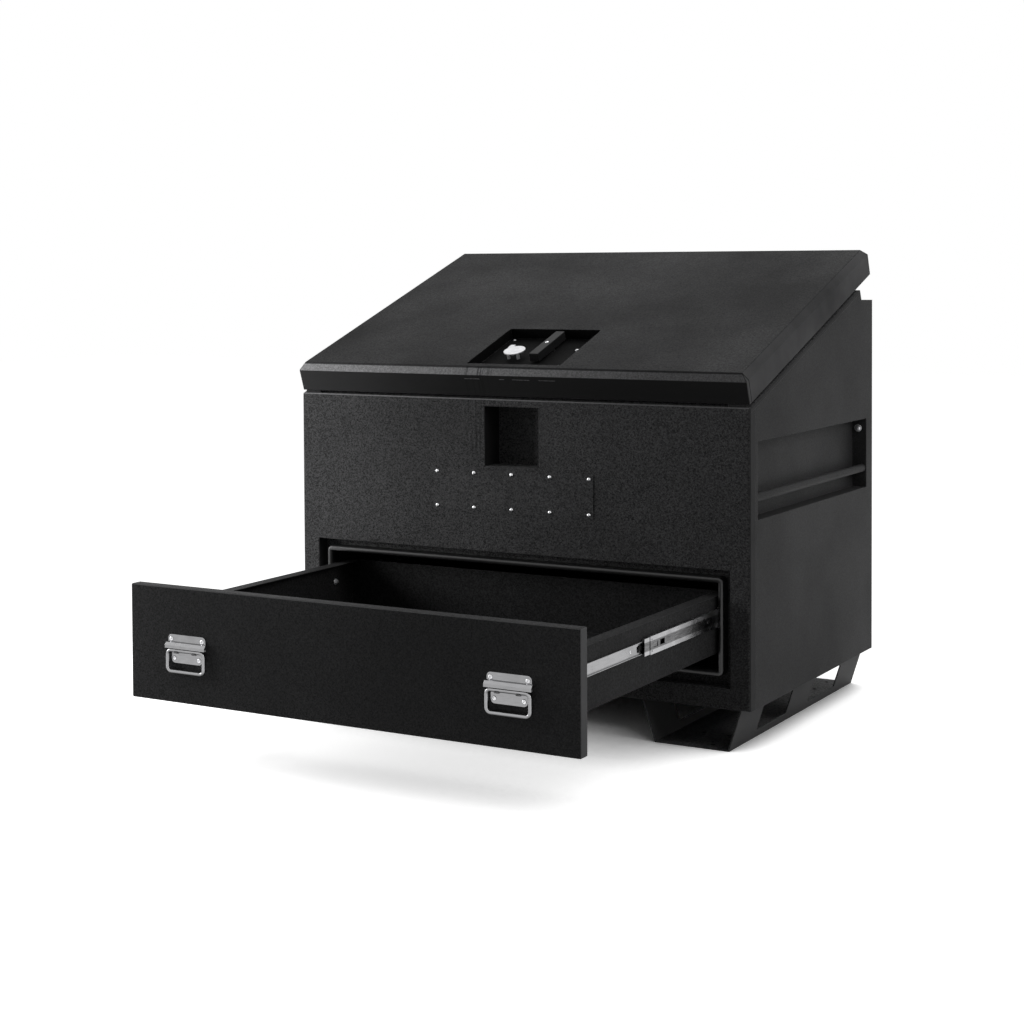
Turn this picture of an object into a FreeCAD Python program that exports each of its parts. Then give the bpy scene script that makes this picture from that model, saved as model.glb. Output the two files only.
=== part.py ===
"""Jobsite box: a sheet-steel site chest with a sloping lid and one full-width drawer.

Frame: X to the right, Y to the back, Z up, in millimetres.  The origin lies on the ground,
at the centre of the four hold-down holes.  The drawer stands open at rest and the lid is shut.
"""
import FreeCAD, Part
import math
import os
import types

import Sketcher

os.makedirs("parts", exist_ok=True)
doc = FreeCAD.newDocument("JobsiteBox")

# Driving dimensions, in millimetres and degrees
SIZES = {
    # Chest body
    "body_width": 1200,
    "body_depth": 800,
    "floor_height": 95,
    "front_top": 762,
    "slope_angle": 19.64,
    "sheet": 2,
    "bend": 5,
    "ledge_run": 92.7,
    "upstand_drop": 4,
    "ledge_drop": 29.4,
    "side_return": 30,
    "deck_gap": 12,
    # Rim of the storage opening
    "rim_gap": 15,
    "rim_skirt": 12,
    "rim_width": 45,
    "rim_lip": 14,
    "gusset_leg": 43,
    "gusset_thickness": 5,
    "gusset_inset": 10,
    # Rubber seals
    "seal_width": 13,
    "seal_height": 20,
    "seal_corner": 14,
    "seal_gap": 0.5,
    "seal_round": 5.8,
    # Skids and their bolt holes
    "skid_end": 144,
    "skid_bottom_width": 181,
    "skid_top_width": 242,
    "skid_sheet": 3,
    "skid_inset": 6,
    "fork_near": 70,
    "fork_far": 252,
    "fork_margin": 19,
    "hole_offset_x": 38,
    "hole_spacing_x": 62,
    "hole_end_y": 40,
    "hole_spacing_y": 90,
    "hole_diameter": 11,
    # Pockets in the panels
    "pocket_width": 146,
    "pocket_height": 141.5,
    "pocket_drop": 16.5,
    "pocket_depth": 70,
    "side_pocket_end": 43,
    "side_pocket_height": 174,
    "side_pocket_drop": 76,
    "side_pocket_depth": 38,
    "bar_diameter": 20,
    "bar_inset": 12,
    "bar_rise": 48,
    "pocket_bolt_inset": 22,
    "pocket_bolt_drop": 25,
    "pocket_bolt_head": 15,
    "pocket_bolt_rise": 3.75,
    "pocket_bolt_size": 8,
    "pocket_bolt_reach": 12,
    # Blank name plate
    "plate_width": 430,
    "plate_height": 100,
    "plate_drop": 8.5,
    "plate_thickness": 1.5,
    "plate_screw_pitch": 102,
    "plate_screw_edge": 9,
    "plate_screw_head": 9,
    "plate_screw_rise": 2.25,
    "screw_size": 4,
    "screw_reach": 6,
    # Drawer opening and bay
    "recess_margin": 47,
    "recess_sill": 46,
    "recess_height": 262,
    "recess_depth": 35,
    "bay_margin": 27.5,
    "bay_sill": 30.5,
    "bay_drop": 25.5,
    "bay_lip": 27,
    # Drawer
    "drawer_opening": 700,
    "front_inset": 3,
    "front_gap": 4,
    "front_sill": 5,
    "front_drop": 10,
    "front_return": 26,
    "front_bend": 3,
    "tray_sill": 42.5,
    "tray_drop": 36.5,
    "tray_flange": 30,
    "tray_rear_gap": 12,
    # Ball-bearing slides
    "slide_thickness": 12.7,
    "slide_drop": 46,
    "slide_front_gap": 10,
    "slide_rear_gap": 30,
    "slide_sheet": 1.2,
    "outer_slide_height": 45,
    "middle_slide_height": 38,
    "inner_slide_height": 26,
    "slide_lip": 3,
    "slide_clearance": 3,
    "slide_nesting": 3.1,
    "outer_slide_reach": 8.9,
    "middle_slide_reach": 7.9,
    "inner_slide_reach": 4.6,
    "slide_screw_inset": 61,
    "slide_screw_head": 8,
    "slide_screw_size": 3,
    "slide_screw_rise": 1.3,
    "slide_screw_reach": 4,
    "slot_first": 14,
    "slot_second": 46,
    "slot_length": 22,
    "slot_height": 11.4,
    "slide_hole": 4,
    "slide_hole_place": 7,
    "slide_hole_spacing": 24,
    "rivet_place": 290,
    "rivet_head": 9,
    "rivet_rise": 0.8,
    "cage_length": 60,
    "cage_overhang": 25,
    "cage_depth": 5,
    "cage_wall": 1.2,
    "cage_play": 1.2,
    # Chest handles on the drawer front
    "grip_end": 154,
    "grip_plate_width": 100,
    "grip_hood_width": 106,
    "grip_lower_width": 82,
    "grip_drop": 100,
    "grip_plate_height": 60.5,
    "grip_plate_thickness": 2,
    "grip_hood_height": 12,
    "grip_hood_depth": 10.5,
    "grip_hood_shoulder": 6.3,
    "bail_below": 33.2,
    "bail_drop": 45,
    "bail_width": 97,
    "bail_wire": 8,
    "bail_corner": 10,
    "bail_gap": 0.5,
    "hook_width": 9,
    "hook_centre": 24,
    "grip_screw_head": 10,
    "grip_screw_rise": 2.5,
    "grip_screw_edge": 10,
    "grip_screw_upper": 41.5,
    "grip_screw_lower": 33.3,
    # Lid, along and square to the slope
    "lid_side_gap": 1.4,
    "lid_front": 4,
    "lid_overhang": 91,
    "lid_underside": 6.8,
    "lid_top": 76,
    "lid_bevel_rise": 17,
    "lid_bevel_run": 14,
    "lid_bend": 3.5,
    "liner_underside": 28.5,
    "liner_overlap": 3,
    "liner_front": 22,
    "liner_rear_overlap": 13,
    "liner_notch": 47,
    # Recess in the lid
    "well_width": 250,
    "well_front": 35,
    "well_length": 223,
    "well_depth": 25,
    "well_bolt_head": 9,
    "well_bolt_rise": 2.25,
    "well_bolt_x": 90,
    "well_bolt_front": 85,
    "well_bolt_rear": 188,
    "well_bolt_far_x": 113,
    "well_bolt_far": 246,
    # Lid hinges
    "hinge_inset": 31.4,
    "hinge_drop": 4.7,
    "hinge_end": 200,
    "hinge_length": 100,
    "hinge_ear": 30,
    "hinge_barrel": 16,
    "hinge_pin": 8,
    "hinge_plate": 5,
    "hinge_gap": 0.5,
    "running_fit": 0.05,
    # Gas struts
    "strut_radius": 420,
    "strut_angle": 60,
    "strut_inset": 70,
    "strut_tube": 22,
    "strut_wall": 2,
    "strut_rod": 10,
    "strut_end": 20,
    "strut_cap": 5,
    "strut_play": 3,
    "strut_piston": 10,
    "strut_head": 35,
    "eye_diameter": 18,
    "eye_thickness": 12,
    "stud_diameter": 8,
    "stud_head": 12,
    "stud_head_thickness": 3,
    "stud_play": 1,
    "bracket_thickness": 4,
    "bracket_size": 40,
    "bracket_drop": 12,
    # Swing handle and lock rods
    "lever_centre": 18,
    "lever_pivot": 177,
    "lever_width": 24,
    "lever_front": 73,
    "lever_rear": 72,
    "lever_thickness": 20,
    "lever_rise": 4,
    "lever_round": 1.5,
    "lever_gap": 0.5,
    "lever_bolt_head": 9,
    "lever_bolt_rise": 2.5,
    "lever_shaft": 16,
    "lever_bushing": 30,
    "cam_diameter": 46,
    "cam_thickness": 4,
    "cam_gap": 2,
    "cam_pin_circle": 18,
    "cam_pin": 6,
    "cam_pin_length": 7,
    "lock_rod": 12,
    "lock_rod_height": 40,
    "lock_rod_end": 6,
    "lock_rod_clearance": 0.5,
    "yoke_thickness": 4,
    "yoke_margin": 5,
    "yoke_wall": 4,
    "yoke_slack": 0.8,
    "guide_thickness": 20,
    "guide_width": 24,
    "guide_inner": 200,
    "guide_end": 106,
    "guide_gap": 1,
    "keeper_gap": 10,
    "keeper_thickness": 5,
    "keeper_width": 40,
    "keeper_height": 50,
    "keeper_foot": 19,
    "keeper_hole": 15,
    "guard_centre_x": 50,
    "guard_centre_along": 135,
    "guard_diameter": 53,
    "guard_thickness": 2.5,
    "guard_rise": 17,
    "guard_post": 8,
    "guard_post_left": 15,
    "guard_post_right": 11,
    "guard_post_front": 7,
    "guard_tab_left": 27,
    "guard_tab_width": 12,
    "guard_tab_start": 15,
    "guard_tab_length": 19,
}

sheet = doc.addObject("Spreadsheet::Sheet", "Sizes")
for row, (alias, number) in enumerate(SIZES.items(), start=1):
    sheet.set(f"A{row}", alias)
    sheet.set(f"B{row}", str(number))
    sheet.setAlias(f"B{row}", alias)
doc.recompute()


class Size:
    """A length or an angle: its formula over the sheet's cells, and its present value."""

    def __init__(self, formula, value):
        self.formula = formula
        self.value = value

    def joined(self, sign, other, value):
        return Size(f"({self.formula} {sign} {other.formula})", value)

    def __add__(self, other):
        other = size(other)
        return self.joined("+", other, self.value + other.value)

    def __sub__(self, other):
        other = size(other)
        return self.joined("-", other, self.value - other.value)

    def __mul__(self, other):
        other = size(other)
        return self.joined("*", other, self.value * other.value)

    def __truediv__(self, other):
        other = size(other)
        return self.joined("/", other, self.value / other.value)

    def __radd__(self, other):
        return size(other) + self

    def __rsub__(self, other):
        return size(other) - self

    def __rmul__(self, other):
        return size(other) * self

    def __neg__(self):
        return -1 * self


def size(number):
    """A plain number as a Size."""
    return number if isinstance(number, Size) else Size(f"{number:.10g}", float(number))


def sine(angle):
    return Size(f"sin({angle.formula})", math.sin(math.radians(angle.value)))


def cosine(angle):
    return Size(f"cos({angle.formula})", math.cos(math.radians(angle.value)))


def arcsine(ratio):
    return Size(f"(asin({ratio.formula}) / 1 deg)", math.degrees(math.asin(ratio.value)))


cell = types.SimpleNamespace(**{
    alias: Size(f"Sizes.{alias}", float(sheet.get(alias))) for alias in SIZES
})

SIDES = (("left", -1), ("right", 1))
AXES = {"x": FreeCAD.Vector(1, 0, 0), "y": FreeCAD.Vector(0, 1, 0), "z": FreeCAD.Vector(0, 0, 1)}
nodes = []


# Sizes that follow from others

half_width = cell.body_width / 2
half_depth = cell.body_depth / 2
inner_half_width = half_width - cell.sheet
front_inner = cell.sheet - half_depth
back_inner = half_depth - cell.sheet
slope_sine = sine(cell.slope_angle)
slope_cosine = cosine(cell.slope_angle)

upstand_along = (cell.body_depth - cell.ledge_run) / slope_cosine
ledge_height = cell.front_top + upstand_along * slope_sine - cell.ledge_drop
rim_length = upstand_along - cell.rim_gap
lid_rear = upstand_along + cell.lid_overhang
hinge_along = lid_rear - cell.hinge_inset

skid_centre = half_width - cell.skid_end
hole_outer_x = skid_centre + cell.hole_offset_x
hole_outer_y = half_depth - cell.hole_end_y

pocket_top = cell.front_top - cell.pocket_drop
pocket_bottom = pocket_top - cell.pocket_height
plate_top = pocket_bottom - cell.plate_drop
plate_bottom = plate_top - cell.plate_height
side_pocket_half = half_depth - cell.side_pocket_end
side_pocket_top = cell.front_top - cell.side_pocket_drop
side_pocket_bottom = side_pocket_top - cell.side_pocket_height

recess_half = half_width - cell.recess_margin
recess_bottom = cell.floor_height + cell.recess_sill
recess_top = recess_bottom + cell.recess_height
deck_height = recess_top + cell.deck_gap
bay_half = recess_half - cell.bay_margin
bay_bottom = recess_bottom + cell.bay_sill
bay_top = recess_top - cell.bay_drop
front_half = recess_half - cell.front_gap
front_bottom = recess_bottom + cell.front_sill
front_top = recess_top - cell.front_drop
tray_bottom = bay_bottom + cell.tray_sill
tray_top = bay_top - cell.tray_drop
slide_centre = tray_top - cell.slide_drop
slide_length = cell.body_depth - cell.slide_front_gap - cell.slide_rear_gap
grip_centre = front_half - cell.grip_end
grip_plate_top = front_top - cell.grip_drop
grip_plate_bottom = grip_plate_top - cell.grip_plate_height
bail_height = grip_plate_top - cell.bail_below
strut_centre = half_width - cell.strut_inset


# Shapes bound to the sheet

def bind(thing, prop, length):
    thing.setExpression(prop, size(length).formula)


def move(thing, x=None, y=None, z=None):
    """Bind the position of a thing, leaving out the axes that are not given."""
    for axis, place in (("x", x), ("y", y), ("z", z)):
        if place is not None:
            bind(thing, f"Placement.Base.{axis}", place)
    return thing


def turn(thing, rotation):
    thing.Placement = FreeCAD.Placement(FreeCAD.Vector(), rotation)
    return thing


def box(x, y, z, name="Block"):
    """A block between two places on each axis."""
    block = doc.addObject("Part::Box", name)
    for edge, (low, high) in (("Length", x), ("Width", y), ("Height", z)):
        bind(block, edge, high - low)
    return move(block, x[0], y[0], z[0])


def across(half):
    """The span from minus half to plus half."""
    return (-half, half)


def about(centre, width):
    return (centre - width / 2, centre + width / 2)


def mirrored(side, near, far):
    """The span between two distances from the middle, on one side of the box."""
    return (near, far) if side > 0 else (-far, -near)


def cylinder(axis, start, length, radius, name="Round"):
    """A round bar from start = (x, y, z) along the given axis."""
    bar = doc.addObject("Part::Cylinder", name)
    turn(bar, FreeCAD.Rotation(FreeCAD.Vector(0, 0, 1), AXES[axis]))
    bind(bar, "Radius", radius)
    bind(bar, "Height", length)
    return move(bar, *start)


def dome(direction, start, diameter, height, name="Dome"):
    """A low round head standing on start and pointing along a direction."""
    ball_radius = (diameter * diameter / 4 + height * height) / (2 * height)
    cap = doc.addObject("Part::Sphere", name)
    turn(cap, FreeCAD.Rotation(FreeCAD.Vector(0, 0, 1), FreeCAD.Vector(*direction)))
    bind(cap, "Radius", ball_radius)
    bind(cap, "Angle1", arcsine((ball_radius - height) / ball_radius))
    sunk = ball_radius - height
    return move(cap, *[place - way * sunk for place, way in zip(start, direction)])


def cut(base, *tools):
    result = doc.addObject("Part::Cut", "Cut")
    result.Base = base
    result.Tool = tools[0] if len(tools) == 1 else fuse(*tools)
    return result


def fuse(*shapes):
    result = doc.addObject("Part::MultiFuse", "Fusion")
    result.Shapes = list(shapes)
    result.Refine = True
    return result


def common(base, tool):
    result = doc.addObject("Part::Common", "Common")
    result.Base = base
    result.Tool = tool
    return result


def group(*shapes):
    result = doc.addObject("Part::Compound", "Group")
    result.Links = list(shapes)
    return result


def node(shape, label):
    """Name a finished piece and list it for export."""
    shape.Label = label
    nodes.append(shape)
    return shape


def origin_plane(body, role):
    return next(plane for plane in body.Origin.OriginFeatures if plane.Role == role)


def sketch(body, role, offset, *loops):
    """A sketch of closed loops of straight lines, on an origin plane of its body."""
    drawing = body.newObject("Sketcher::SketchObject", "Outline")
    drawing.AttachmentSupport = [(origin_plane(body, role), "")]
    drawing.MapMode = "FlatFace"
    bind(drawing, "AttachmentOffset.Base.z", offset)
    for loop in loops:
        first = drawing.GeometryCount
        corners = [FreeCAD.Vector(size(a).value, size(b).value, 0) for a, b in loop]
        lines = [Part.LineSegment(start, end) for start, end in zip(corners, corners[1:] + corners[:1])]
        drawing.addGeometry(lines)
        for place, (a, b) in enumerate(loop):
            line = first + place
            after = first + (place + 1) % len(loop)
            drawing.addConstraint(Sketcher.Constraint("Coincident", line, 2, after, 1))
            for kind, distance in (("DistanceX", size(a)), ("DistanceY", size(b))):
                number = drawing.addConstraint(
                    Sketcher.Constraint(kind, -1, 1, line, 1, distance.value))
                bind(drawing, f"Constraints[{number}]", distance)
    return drawing


def rectangle(first, second):
    """The four corners of a rectangle, from its two spans."""
    (a, b), (c, d) = first, second
    return [(a, c), (b, c), (b, d), (a, d)]


def pad(body, drawing, length, middle=False):
    feature = body.newObject("PartDesign::Pad", "Pad")
    feature.Profile = drawing
    bind(feature, "Length", length)
    feature.SideType = "Symmetric" if middle else "One side"
    doc.recompute()
    return feature


def new_body(name):
    return doc.addObject("PartDesign::Body", name)


def extrusion(name, role, offset, length, *loops, middle=False):
    """A body made by padding one sketch."""
    body = new_body(name)
    pad(body, sketch(body, role, offset, *loops), length, middle)
    return body


def dress(body, kind, test, **lengths):
    """Round or bevel the edges of a body's last feature that pass a test of their bounds."""
    base = body.Tip
    names = [f"Edge{i}" for i, edge in enumerate(base.Shape.Edges, start=1) if test(edge.BoundBox)]
    feature = body.newObject(f"PartDesign::{kind}", kind)
    feature.Base = (base, names)
    if kind == "Chamfer":
        feature.ChamferType = "Two distances"
    for prop, length in lengths.items():
        bind(feature, prop, length)
    doc.recompute()
    return feature


def fastener(direction, place, head, head_height, shank, reach):
    """A domed head on a surface with its shank through it, and the shank alone for the hole."""
    axis = "xyz"[[abs(way) for way in direction].index(1)]
    backwards = sum(direction) > 0
    start = [at - way * reach if backwards and way else at for at, way in zip(place, direction)]
    shanks = [cylinder(axis, start, reach, shank / 2, "Shank") for _ in range(2)]
    return fuse(dome(direction, place, head, head_height), shanks[0]), shanks[1]


# The sloping plane of the rim and the lid

def slope_point(along, square):
    """World y and z of a point given along the slope and square to it."""
    y = along * slope_cosine - square * slope_sine - half_depth
    z = along * slope_sine + square * slope_cosine + cell.front_top
    return y, z


def on_slope(thing):
    """Place on the slope a thing that is drawn along x, along the slope and square to it."""
    if thing.isDerivedFrom("Part::Primitive"):
        thing = group(thing)
    turn(thing, FreeCAD.Rotation(AXES["x"], 1))
    bind(thing, "Placement.Rotation.Angle", cell.slope_angle)
    return move(thing, y=-half_depth, z=cell.front_top)


# Skin of the chest: one bent and welded sheet shell, cut along its weld seams

def skin_profile(inset):
    """Side view of the chest, inset by a sheet thickness for the inside."""
    ledge = ledge_height - inset
    foot_along = upstand_along + cell.sheet - inset
    foot_square = (ledge - cell.front_top - foot_along * slope_sine) / slope_cosine
    front_along = inset * (1 - slope_sine) / slope_cosine
    return [
        (inset - half_depth, cell.floor_height + inset),
        (half_depth - inset, cell.floor_height + inset),
        (half_depth - inset, ledge),
        slope_point(foot_along, foot_square),
        slope_point(upstand_along - inset, -cell.upstand_drop - inset),
        slope_point(rim_length, -inset),
        slope_point(front_along, -inset),
    ]


def skin_block(inset, name):
    body = extrusion(name, "YZ_Plane", 0, cell.body_width - 2 * inset, skin_profile(inset), middle=True)
    side = half_width.value - inset.value
    front = inset.value - half_depth.value
    slope_end = slope_point(rim_length, size(0))[0].value

    def bent(bounds):
        on_side = bounds.XLength < 1e-3 and abs(abs(bounds.XMax) - side) < 1e-3
        on_front = abs(bounds.YMax - front) < 1e-3
        on_rim = on_side and abs(bounds.YMin - front) < 1e-3 and abs(bounds.YMax - slope_end) < 2
        return on_front or on_rim

    dress(body, "Fillet", bent, Radius=cell.bend - inset)
    return body


def chest_skin():
    outside = skin_block(size(0), "SkinOutside")
    inside = skin_block(cell.sheet, "SkinInside")
    skin = cut(outside, inside)
    reach = cell.bend * 2
    rim_zone = on_slope(box(across(half_width + reach), (-reach, rim_length),
                            (-cell.rim_skirt, reach), "RimZone"))
    return cut(skin, rim_zone), common(skin, rim_zone)


panel_skin, rim_skin = chest_skin()
bend_line_x = half_width - cell.bend
side_seam = cell.side_return - half_depth
tall = ledge_height * 2
wide = cell.body_width


def bolt_places(side):
    columns = (hole_outer_x, hole_outer_x - cell.hole_spacing_x)
    rows = (hole_outer_y, hole_outer_y - cell.hole_spacing_y)
    return [(side * x, way * y) for x in columns for y in rows for way in (-1, 1)]


def skid(name, side):
    centre = side * skid_centre
    low, high = cell.skid_bottom_width / 2, cell.skid_top_width / 2
    wall = cell.skid_sheet
    top = cell.floor_height
    outline = [
        (centre - high, top), (centre - low, size(0)), (centre + low, size(0)), (centre + high, top),
        (centre + high - wall, top), (centre + low - wall, wall),
        (centre - low + wall, wall), (centre - high + wall, top),
    ]
    end = half_depth - cell.skid_inset
    channel = extrusion(name + "_channel", "XZ_Plane", 0, 2 * end, outline, middle=True)
    width = about(centre, 2 * cell.skid_top_width)
    height = (cell.fork_margin, cell.floor_height - cell.fork_margin)
    windows = [box(width, mirrored(way, cell.fork_near, cell.fork_far), height) for way in (-1, 1)]
    holes = [cylinder("z", (x, y, -wall), 3 * wall, cell.hole_diameter / 2)
             for x, y in bolt_places(side)]
    return node(cut(channel, *windows, *holes), name)


for side_name, side in SIDES:
    skid(f"skid_{side_name}", side)

node(common(panel_skin, box(across(bend_line_x), (side_seam, half_depth),
                            (size(0), cell.floor_height + cell.sheet))), "floor_panel")
ledge_bottom = ledge_height - cell.bend
node(common(panel_skin, box(across(bend_line_x), (size(0), half_depth),
                            (ledge_bottom, tall))), "rear_ledge")
node(common(panel_skin, box(across(bend_line_x), (back_inner, half_depth),
                            (cell.floor_height + cell.sheet, ledge_bottom))), "back_panel")


# Pockets pressed into the panels: each pan is welded behind the hole that it opens through

def recess_span():
    return across(recess_half), (recess_bottom, recess_top)


def front_pocket_span():
    return across(cell.pocket_width / 2), (pocket_bottom, pocket_top)


def side_pocket_span():
    return across(side_pocket_half), (side_pocket_bottom, side_pocket_top)


def grown(span, by):
    return (span[0] - by, span[1] + by)


def front_pan(width, height, depth):
    """A pan behind the front panel, open at the front."""
    outside = box(grown(width, cell.sheet), (front_inner, front_inner + depth), grown(height, cell.sheet))
    return cut(outside, box(width, (-half_depth, front_inner + depth - cell.sheet), height))


plate_front = -half_depth - cell.plate_thickness
plate_rows = (plate_bottom + cell.plate_screw_edge, plate_top - cell.plate_screw_edge)
plate_columns = [number * cell.plate_screw_pitch for number in (-2, -1, 0, 1, 2)]
plate_screws, plate_holes = zip(*[
    fastener((0, -1, 0), (x, plate_front, z), cell.plate_screw_head, cell.plate_screw_rise,
             cell.screw_size, cell.plate_thickness + cell.screw_reach)
    for x in plate_columns for z in plate_rows])
plate_hole_group = group(*plate_holes)

front_sheet = common(panel_skin, box(across(wide), (-cell.body_depth, side_seam), (size(0), tall)))
recess_width, recess_height = recess_span()
pocket_width, pocket_height = front_pocket_span()
through_front = (-cell.body_depth, side_seam)
node(cut(front_sheet, box(recess_width, through_front, recess_height),
         box(pocket_width, through_front, pocket_height), plate_hole_group), "front_panel")
name_plate = box(across(cell.plate_width / 2), (plate_front, -half_depth),
                 (plate_bottom, plate_top))
node(cut(name_plate, plate_hole_group), "name_plate")
node(group(*plate_screws), "name_plate_screws")

node(front_pan(pocket_width, pocket_height, cell.pocket_depth), "front_pocket")
bay_inside = (across(bay_half), (bay_bottom, bay_top))
bay_outside = tuple(grown(span, cell.sheet) for span in bay_inside)
recess_floor = front_inner + cell.recess_depth - cell.sheet
node(cut(front_pan(recess_width, recess_height, cell.recess_depth),
         box(bay_outside[0], (recess_floor - cell.sheet, size(0)), bay_outside[1])), "drawer_recess")
bay_front = recess_floor - cell.bay_lip

deck_corner = inner_half_width - cell.bend
deck_outline = [
    (-inner_half_width, front_inner + cell.bend), (-deck_corner, front_inner),
    (deck_corner, front_inner), (inner_half_width, front_inner + cell.bend),
    (inner_half_width, back_inner), (-inner_half_width, back_inner),
]
node(extrusion("Deck", "XY_Plane", deck_height - cell.sheet, cell.sheet, deck_outline), "chest_deck")


def side_panel(name, side, holes):
    width = mirrored(side, bend_line_x, wide)
    length, height = side_pocket_span()
    sheet_part = common(panel_skin, box(width, (side_seam, half_depth), (size(0), tall)))
    opening = box(mirrored(side, inner_half_width - cell.bend, wide), length, height)
    node(cut(sheet_part, opening), f"side_panel_{name}")
    inner_face = inner_half_width - cell.side_pocket_depth
    outside = box(mirrored(side, inner_face, inner_half_width), grown(length, cell.sheet),
                  grown(height, cell.sheet))
    inside = box(mirrored(side, inner_face + cell.sheet, half_width), length, height)
    node(cut(outside, inside, holes), f"side_pocket_{name}")
    bar_start = (side * (half_width - cell.bar_inset), length[0], side_pocket_bottom + cell.bar_rise)
    node(cylinder("y", bar_start, length[1] - length[0], cell.bar_diameter / 2), f"side_bar_{name}")


def pocket_bolts(side):
    x = side * (half_width - cell.pocket_bolt_inset)
    z = side_pocket_top - cell.pocket_bolt_drop
    return [fastener((0, -way, 0), (x, way * side_pocket_half, z), cell.pocket_bolt_head,
                     cell.pocket_bolt_rise, cell.pocket_bolt_size, cell.pocket_bolt_reach)
            for way in (-1, 1)]


all_pocket_bolts = []
for side_name, side in SIDES:
    bolts, holes = zip(*pocket_bolts(side))
    side_panel(side_name, side, group(*holes))
    all_pocket_bolts.extend(bolts)
node(group(*all_pocket_bolts), "pocket_bolts")


# Rim of the storage opening

opening_half = inner_half_width - cell.rim_width
rim_front = cell.sheet + cell.rim_width
rim_rear = rim_length - cell.sheet - cell.rim_width


def rim_ring(inset, low, high):
    """A block over the storage opening, inset from the outside of its lip."""
    return box(across(opening_half - inset), (rim_front + inset, rim_rear - inset), (low, high))


lip_ring = on_slope(cut(rim_ring(size(0), -cell.sheet, cell.rim_lip),
                        rim_ring(cell.sheet, -2 * cell.sheet, 2 * cell.rim_lip)))
opening = on_slope(rim_ring(cell.sheet, -4 * cell.bend, 4 * cell.bend))
node(fuse(cut(rim_skin, opening), lip_ring), "rim_frame")

gusset_edge = half_width - cell.gusset_inset
gussets = []
for side_name, side in SIDES:
    corner_point = (side * gusset_edge, cell.bend)
    outline = [corner_point, (side * (gusset_edge - cell.gusset_leg), corner_point[1]),
               (corner_point[0], corner_point[1] + cell.gusset_leg)]
    gussets.append(on_slope(extrusion("Gusset", "XY_Plane", 0, cell.gusset_thickness, outline)))
node(group(*gussets), "corner_gussets")


# Rubber seals: a bulb that clips over a sheet edge, run round a rectangle

def seal_ring(name, role, offset, height, lip_first, lip_second):
    """A closed bulb centred on a sheet lip whose outer faces lie on the two spans."""
    spread = (cell.seal_width - cell.sheet) / 2
    outer = rectangle(grown(lip_first, spread), grown(lip_second, spread))
    inner = rectangle(grown(lip_first, spread - cell.seal_width),
                      grown(lip_second, spread - cell.seal_width))
    body = extrusion(name, role, offset, height, outer, inner)
    reach = body.Shape.BoundBox.XMax

    def upright(bounds):
        thin = bounds.YLength if role == "XY_Plane" else bounds.ZLength
        return bounds.XLength < 1e-3 and thin < 1e-3

    def outer_corner(bounds):
        return upright(bounds) and abs(abs(bounds.XMax) - reach) < 1e-3

    def inner_corner(bounds):
        return upright(bounds) and abs(bounds.XMax) < reach - cell.seal_width.value / 2

    dress(body, "Fillet", outer_corner, Radius=cell.seal_corner)
    dress(body, "Fillet", inner_corner, Radius=cell.seal_corner - cell.seal_width)
    free_end = body.Shape.BoundBox.ZMax if role == "XY_Plane" else body.Shape.BoundBox.YMin

    def free_edge(bounds):
        low, high = (bounds.ZMin, bounds.ZMax) if role == "XY_Plane" else (bounds.YMin, bounds.YMax)
        return abs(low - free_end) < 1e-3 and abs(high - free_end) < 1e-3

    dress(body, "Fillet", free_edge, Radius=cell.seal_round)
    return body


seal_top = cell.liner_underside - cell.seal_gap
lid_seal = seal_ring("LidSeal", "XY_Plane", seal_top - cell.seal_height, cell.seal_height,
                     across(opening_half), (rim_front, rim_rear))
lip_in_seal = cut(rim_ring(size(0), -cell.sheet, cell.rim_lip),
                  rim_ring(cell.sheet, -2 * cell.sheet, 2 * cell.rim_lip))
node(on_slope(cut(lid_seal, lip_in_seal)), "lid_seal")

closed_front = cell.front_inset - half_depth
drawer_seal_front = closed_front + cell.sheet + cell.seal_gap
drawer_seal = seal_ring("DrawerSeal", "XZ_Plane", -recess_floor, recess_floor - drawer_seal_front,
                        *bay_outside)
bay_wall = cut(box(bay_outside[0], (bay_front, back_inner), bay_outside[1]),
               box(bay_inside[0], (bay_front - cell.sheet, half_depth), bay_inside[1]))
slide_room = about(slide_centre, cell.outer_slide_height + cell.slide_clearance)
slide_notch = box(across(bay_half), (-half_depth, size(0)), slide_room)
node(cut(drawer_seal, bay_wall, slide_notch), "drawer_seal")


# Ball-bearing slides: three nested channels and a ball cage on each side of the drawer

def channel_outline(side, back, reach, height, lip=None):
    """A channel seen end on; its back stands at x = back and its flanges run by reach."""
    wall = cell.slide_sheet if reach.value > 0 else -cell.slide_sheet
    tip = back + reach
    half = height / 2
    upper = [(back, half), (tip, half), (tip, half - cell.slide_sheet)]
    if lip:
        upper[2:] = [(tip, half - lip), (tip - wall, half - lip), (tip - wall, half - cell.slide_sheet)]
    upper.append((back + wall, half - cell.slide_sheet))
    lower = [(x, -z) for x, z in reversed(upper)]
    return [(side * x, slide_centre + z) for x, z in upper + lower]


def slide_channel(side, back, reach, height, front, length, lip=None):
    outline = channel_outline(side, back, reach, height, lip)
    return extrusion("Channel", "XZ_Plane", -(front + length), length, outline)


slide_front = cell.slide_front_gap - half_depth
tray_half = bay_half - cell.slide_thickness
middle_back = bay_half - cell.slide_nesting
middle_front = slide_front - cell.drawer_opening / 2
inner_front = slide_front - cell.drawer_opening
slide_screw_pitch = (slide_length - 2 * cell.slide_screw_inset) / 3
slide_screw_places = [cell.slide_screw_inset + step * slide_screw_pitch for step in range(4)]


def slide_screws(side, web, direction, front):
    return zip(*[fastener((direction, 0, 0), (side * web, front + place, slide_centre),
                          cell.slide_screw_head, cell.slide_screw_rise, cell.slide_screw_size,
                          cell.slide_screw_reach) for place in slide_screw_places])


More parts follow.
